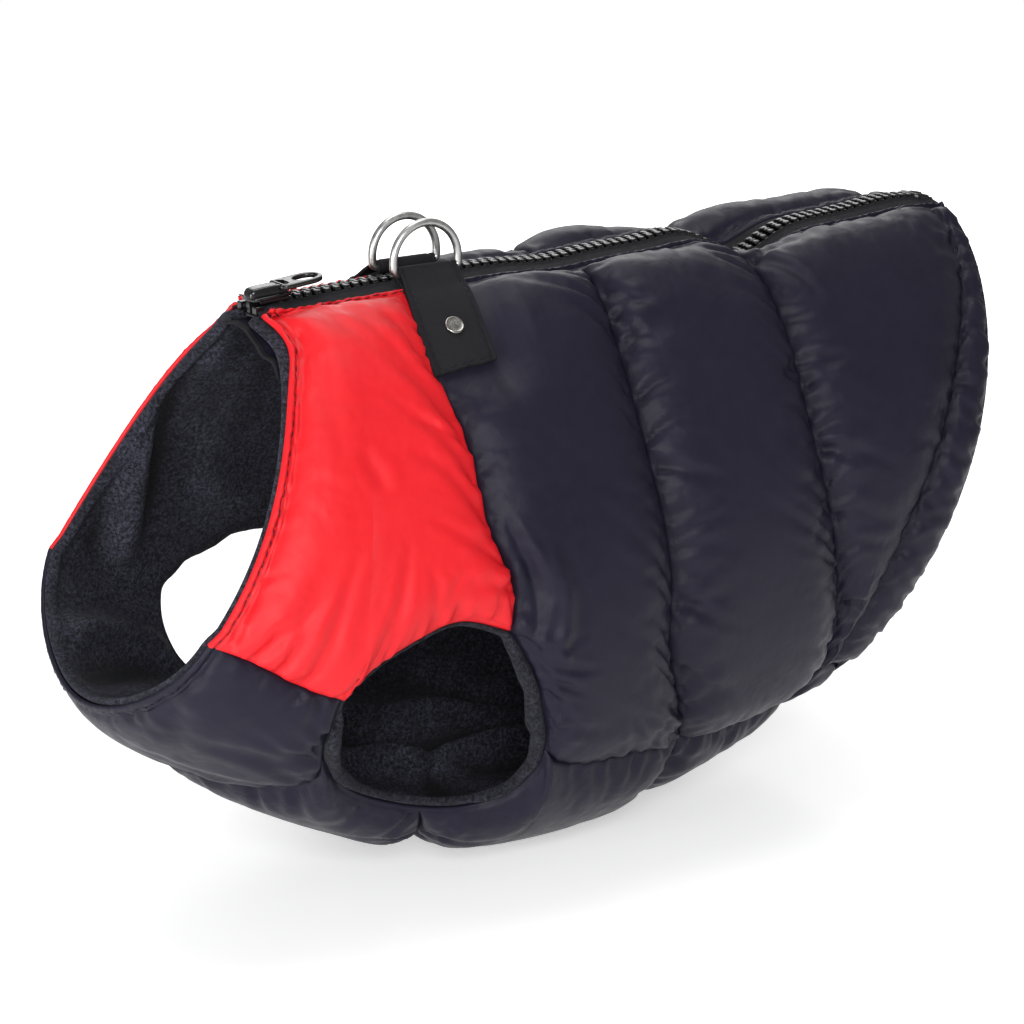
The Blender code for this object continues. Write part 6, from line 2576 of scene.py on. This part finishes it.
@dataclass
class ArmholeBands:
    """The turned fleece edge round each armhole, widest where it rolls over at the front.

    For each side, marks holds the edge's widths and the heights of its face, three of each for the
    armhole's top, rear, foot and front.
    """

    pattern: Pattern
    fine: int = 5
    inset: float = 0.3
    low: float = -1.9
    seed: int = 8
    uneven: tuple[float, float] = (0.8, 0.5)
    knot_steps: int = 7
    narrow: float = 1.5
    spread_at: tuple[float, ...] = (0.0, 0.35, 0.7)
    spread_passes: int = 16
    line_passes: int = 6
    turns: tuple[float, float, int] = (-0.62, 0.92, 15)
    marks: dict[Side, tuple[tuple[float, ...], ...]] = field(
        default_factory=lambda: {
            Side.LEFT: (
                (1.2, 1.2, 1.4, 2.4, 4.2, 5.0, 4.4, 2.0, 2.0, 5.4, 5.6, 2.0),
                (1.2, 1.2, 1.4, 2.2, 2.6, 2.8, 2.0, 0.6, 0.8, 3.6, 4.6, 2.0),
            ),
            Side.RIGHT: (
                (1.6, 3.0, 4.5, 4.0, 3.2, 3.0, 2.6, 2.2, 1.6, 1.3, 1.2, 1.2),
                (1.4, 1.6, 1.6, 2.0, 2.2, 2.2, 2.0, 1.8, 2.0, 2.2, 2.0, 1.4),
            ),
        }
    )

    def build(self, finishes: dict[str, bpy.types.Material]) -> None:
        """Makes both bands."""
        top, rear, front, foot = self.pattern.armhole_lines(self.fine)
        loop = joined(top, rear, foot[::-1], front[::-1])[:-1]
        form = self.pattern.form
        spots = form.point(loop[:, 0], loop[:, 1])
        out = form.normal(loop[:, 0], loop[:, 1])
        for _ in range(self.line_passes):
            spots = (spots * 2 + np.roll(spots, 1, axis=0) + np.roll(spots, -1, axis=0)) / 4
        total = float(lengths_along(np.concatenate([spots, spots[:1]]))[-1]) * MM
        ends = (0, *np.cumsum([len(top), len(rear), len(foot)]).tolist(), len(loop))
        for side in Side:
            width, face = (self.spread(ends, marks) for marks in self.marks[side])
            points, faces = self.ring(spots, out, width, face, self.seed + side.value)
            if side is Side.RIGHT:
                points = mirrored(points)
            band = combined(f"{side.word}_armhole_edge", [(points, faces)])
            # Painted shade: the band's fleece is darkened evenly, with 0.6 of the fleece's shade mix.
            set_value(band, "hollow", np.full(len(points), 0.6))
            hand_in(band, "fleece", finishes, BODY, f"{side.word}_armhole_band")

    def spread(self, ends: tuple[int, ...], marks: tuple[float, ...]) -> np.ndarray:
        """Values right round the armhole, from three for each of its top, rear, foot and front."""
        at = [start + (end - start) * share for start, end in zip(ends, ends[1:]) for share in self.spread_at]
        spread = np.interp(np.arange(ends[-1]), [*at, ends[-1]], [*marks, marks[0]])
        for _ in range(self.spread_passes):
            spread = (spread + np.roll(spread, 1) + np.roll(spread, -1)) / 3
        return spread

    def ring(
        self, spots: np.ndarray, out: np.ndarray, width: np.ndarray, face: np.ndarray, seed: int
    ) -> tuple[np.ndarray, list]:
        """The band round one armhole.

        Args:
            spots: The armhole's line.
            out: Unit vectors off the vest along it.
            width: How wide the band is at each of the spots.
            face: How high its face stands.
            seed: Its unevenness's seed.

        Returns:
            Its points and faces.
        """
        rng = np.random.default_rng(seed)
        count = len(spots)
        broad = np.clip(width - self.narrow, 0, self.narrow) / self.narrow
        for values, size in zip((width, face), self.uneven):
            knots = rng.normal(0, size, count // self.knot_steps + 2)
            values += np.interp(np.arange(count), np.arange(len(knots)) * self.knot_steps, knots) * broad
        aside, up = directions(spots, out, loop=True)
        aside = aside * np.sign(((spots.mean(axis=0) - spots) * aside).sum())
        half, middle = (face - self.low) / 2, (face + self.low) / 2
        start, end, steps = self.turns
        sections = np.zeros((count, steps + 2, 2))
        for k, turn in enumerate(np.linspace(start * np.pi, end * np.pi, steps)):
            reach = np.abs(np.cos(turn)) ** 0.7 * np.sign(np.cos(turn))
            sections[:, k, 0] = self.inset + width * np.clip(0.5 + 0.5 * reach, 0, 1)
            sections[:, k, 1] = middle + half * np.sin(turn)
        for k, height in ((steps, middle + 0.2), (steps + 1, middle - half * 0.95)):
            sections[:, k] = np.stack([np.full(count, self.inset), height], axis=1)
        return swept(spots, aside, up, sections, loop=True)


# ---------------------------------------------------------------- topstitching


@dataclass
class Topstitching:
    """The rows of stitches beside the zip and round the neck."""

    panels: PaddedPanels
    inset: float = 1.6
    zip_slant: float = 3.0
    neck_slant: float = 6.0
    strap_share: float = 0.375

    def on_face(self, node: str, rim: Rim) -> tuple[np.ndarray, np.ndarray]:
        """The stitch line beside one edge of a panel, and the way off the cloth."""
        grid = self.panels.skins[node]
        normals = grid_normals(grid)
        if node.startswith("right"):
            normals = -normals
        if rim in (Rim.TOP, Rim.FOOT):
            grid, normals = np.moveaxis(grid, 0, 1), np.moveaxis(normals, 0, 1)
        if rim in (Rim.REAR, Rim.FOOT):
            grid, normals = grid[:, ::-1], normals[:, ::-1]
        line, out = [], []
        for points, outs in zip(grid, normals):
            lengths = lengths_along(points)
            line.append(read_line(points, lengths, self.inset))
            out.append(read_line(outs, lengths, self.inset))
        return np.array(line), np.array(out)

    def build(self, stitching: Stitching) -> None:
        """Sews every row."""
        for side in Side:
            for name in ("yoke", "body_1", "body_2", "body_3"):
                node = f"{side.word}_{name}"
                line, out = self.on_face(node, Rim.TOP)
                covered = int(len(line) * self.strap_share) if name == "body_1" else 0
                stitching.row(f"{node}_zip_stitches", line[covered:], out[covered:], self.zip_slant)
            neck = self.on_face(f"{side.word}_yoke", Rim.FRONT)
            stitching.row(f"{side.word}_neck_stitches", *neck, self.neck_slant)
        stitching.row("chest_neck_stitches", *self.on_face("chest_panel", Rim.FRONT), self.zip_slant)


# ---------------------------------------------------------------- the vest


def as_lists(bounds: tuple[Vector, Vector]) -> list[list[float]]:
    """A box as two plain lists of numbers."""
    low, high = bounds
    return [[float(value) for value in low], [float(value) for value in high]]


def main() -> None:
    """Builds the vest's looks, piece by piece."""
    logging.basicConfig(level=logging.INFO, format="%(message)s")
    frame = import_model()
    cad_box = as_lists(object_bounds())
    finishes = make_finishes()
    pattern = Pattern()
    for entry in frame["record"]["subparts"]:
        node = frame["nodes"][entry["node"]]
        node.data.materials.clear()
        node.data.materials.append(finishes[entry["material_slot"]])
    panels = PaddedPanels(pattern)
    panels.build(finishes)
    FleeceLining(pattern).build(finishes)
    ArmholeBands(pattern).build(finishes)
    stitching = Stitching(finishes)
    Zip(pattern, finishes).build(stitching.rows)
    RingStraps(panels, finishes).build(stitching)
    Topstitching(panels).build(stitching)
    stitching.done()
    Studio().build(cad_box[0][2])


if __name__ == "__main__":
    main()
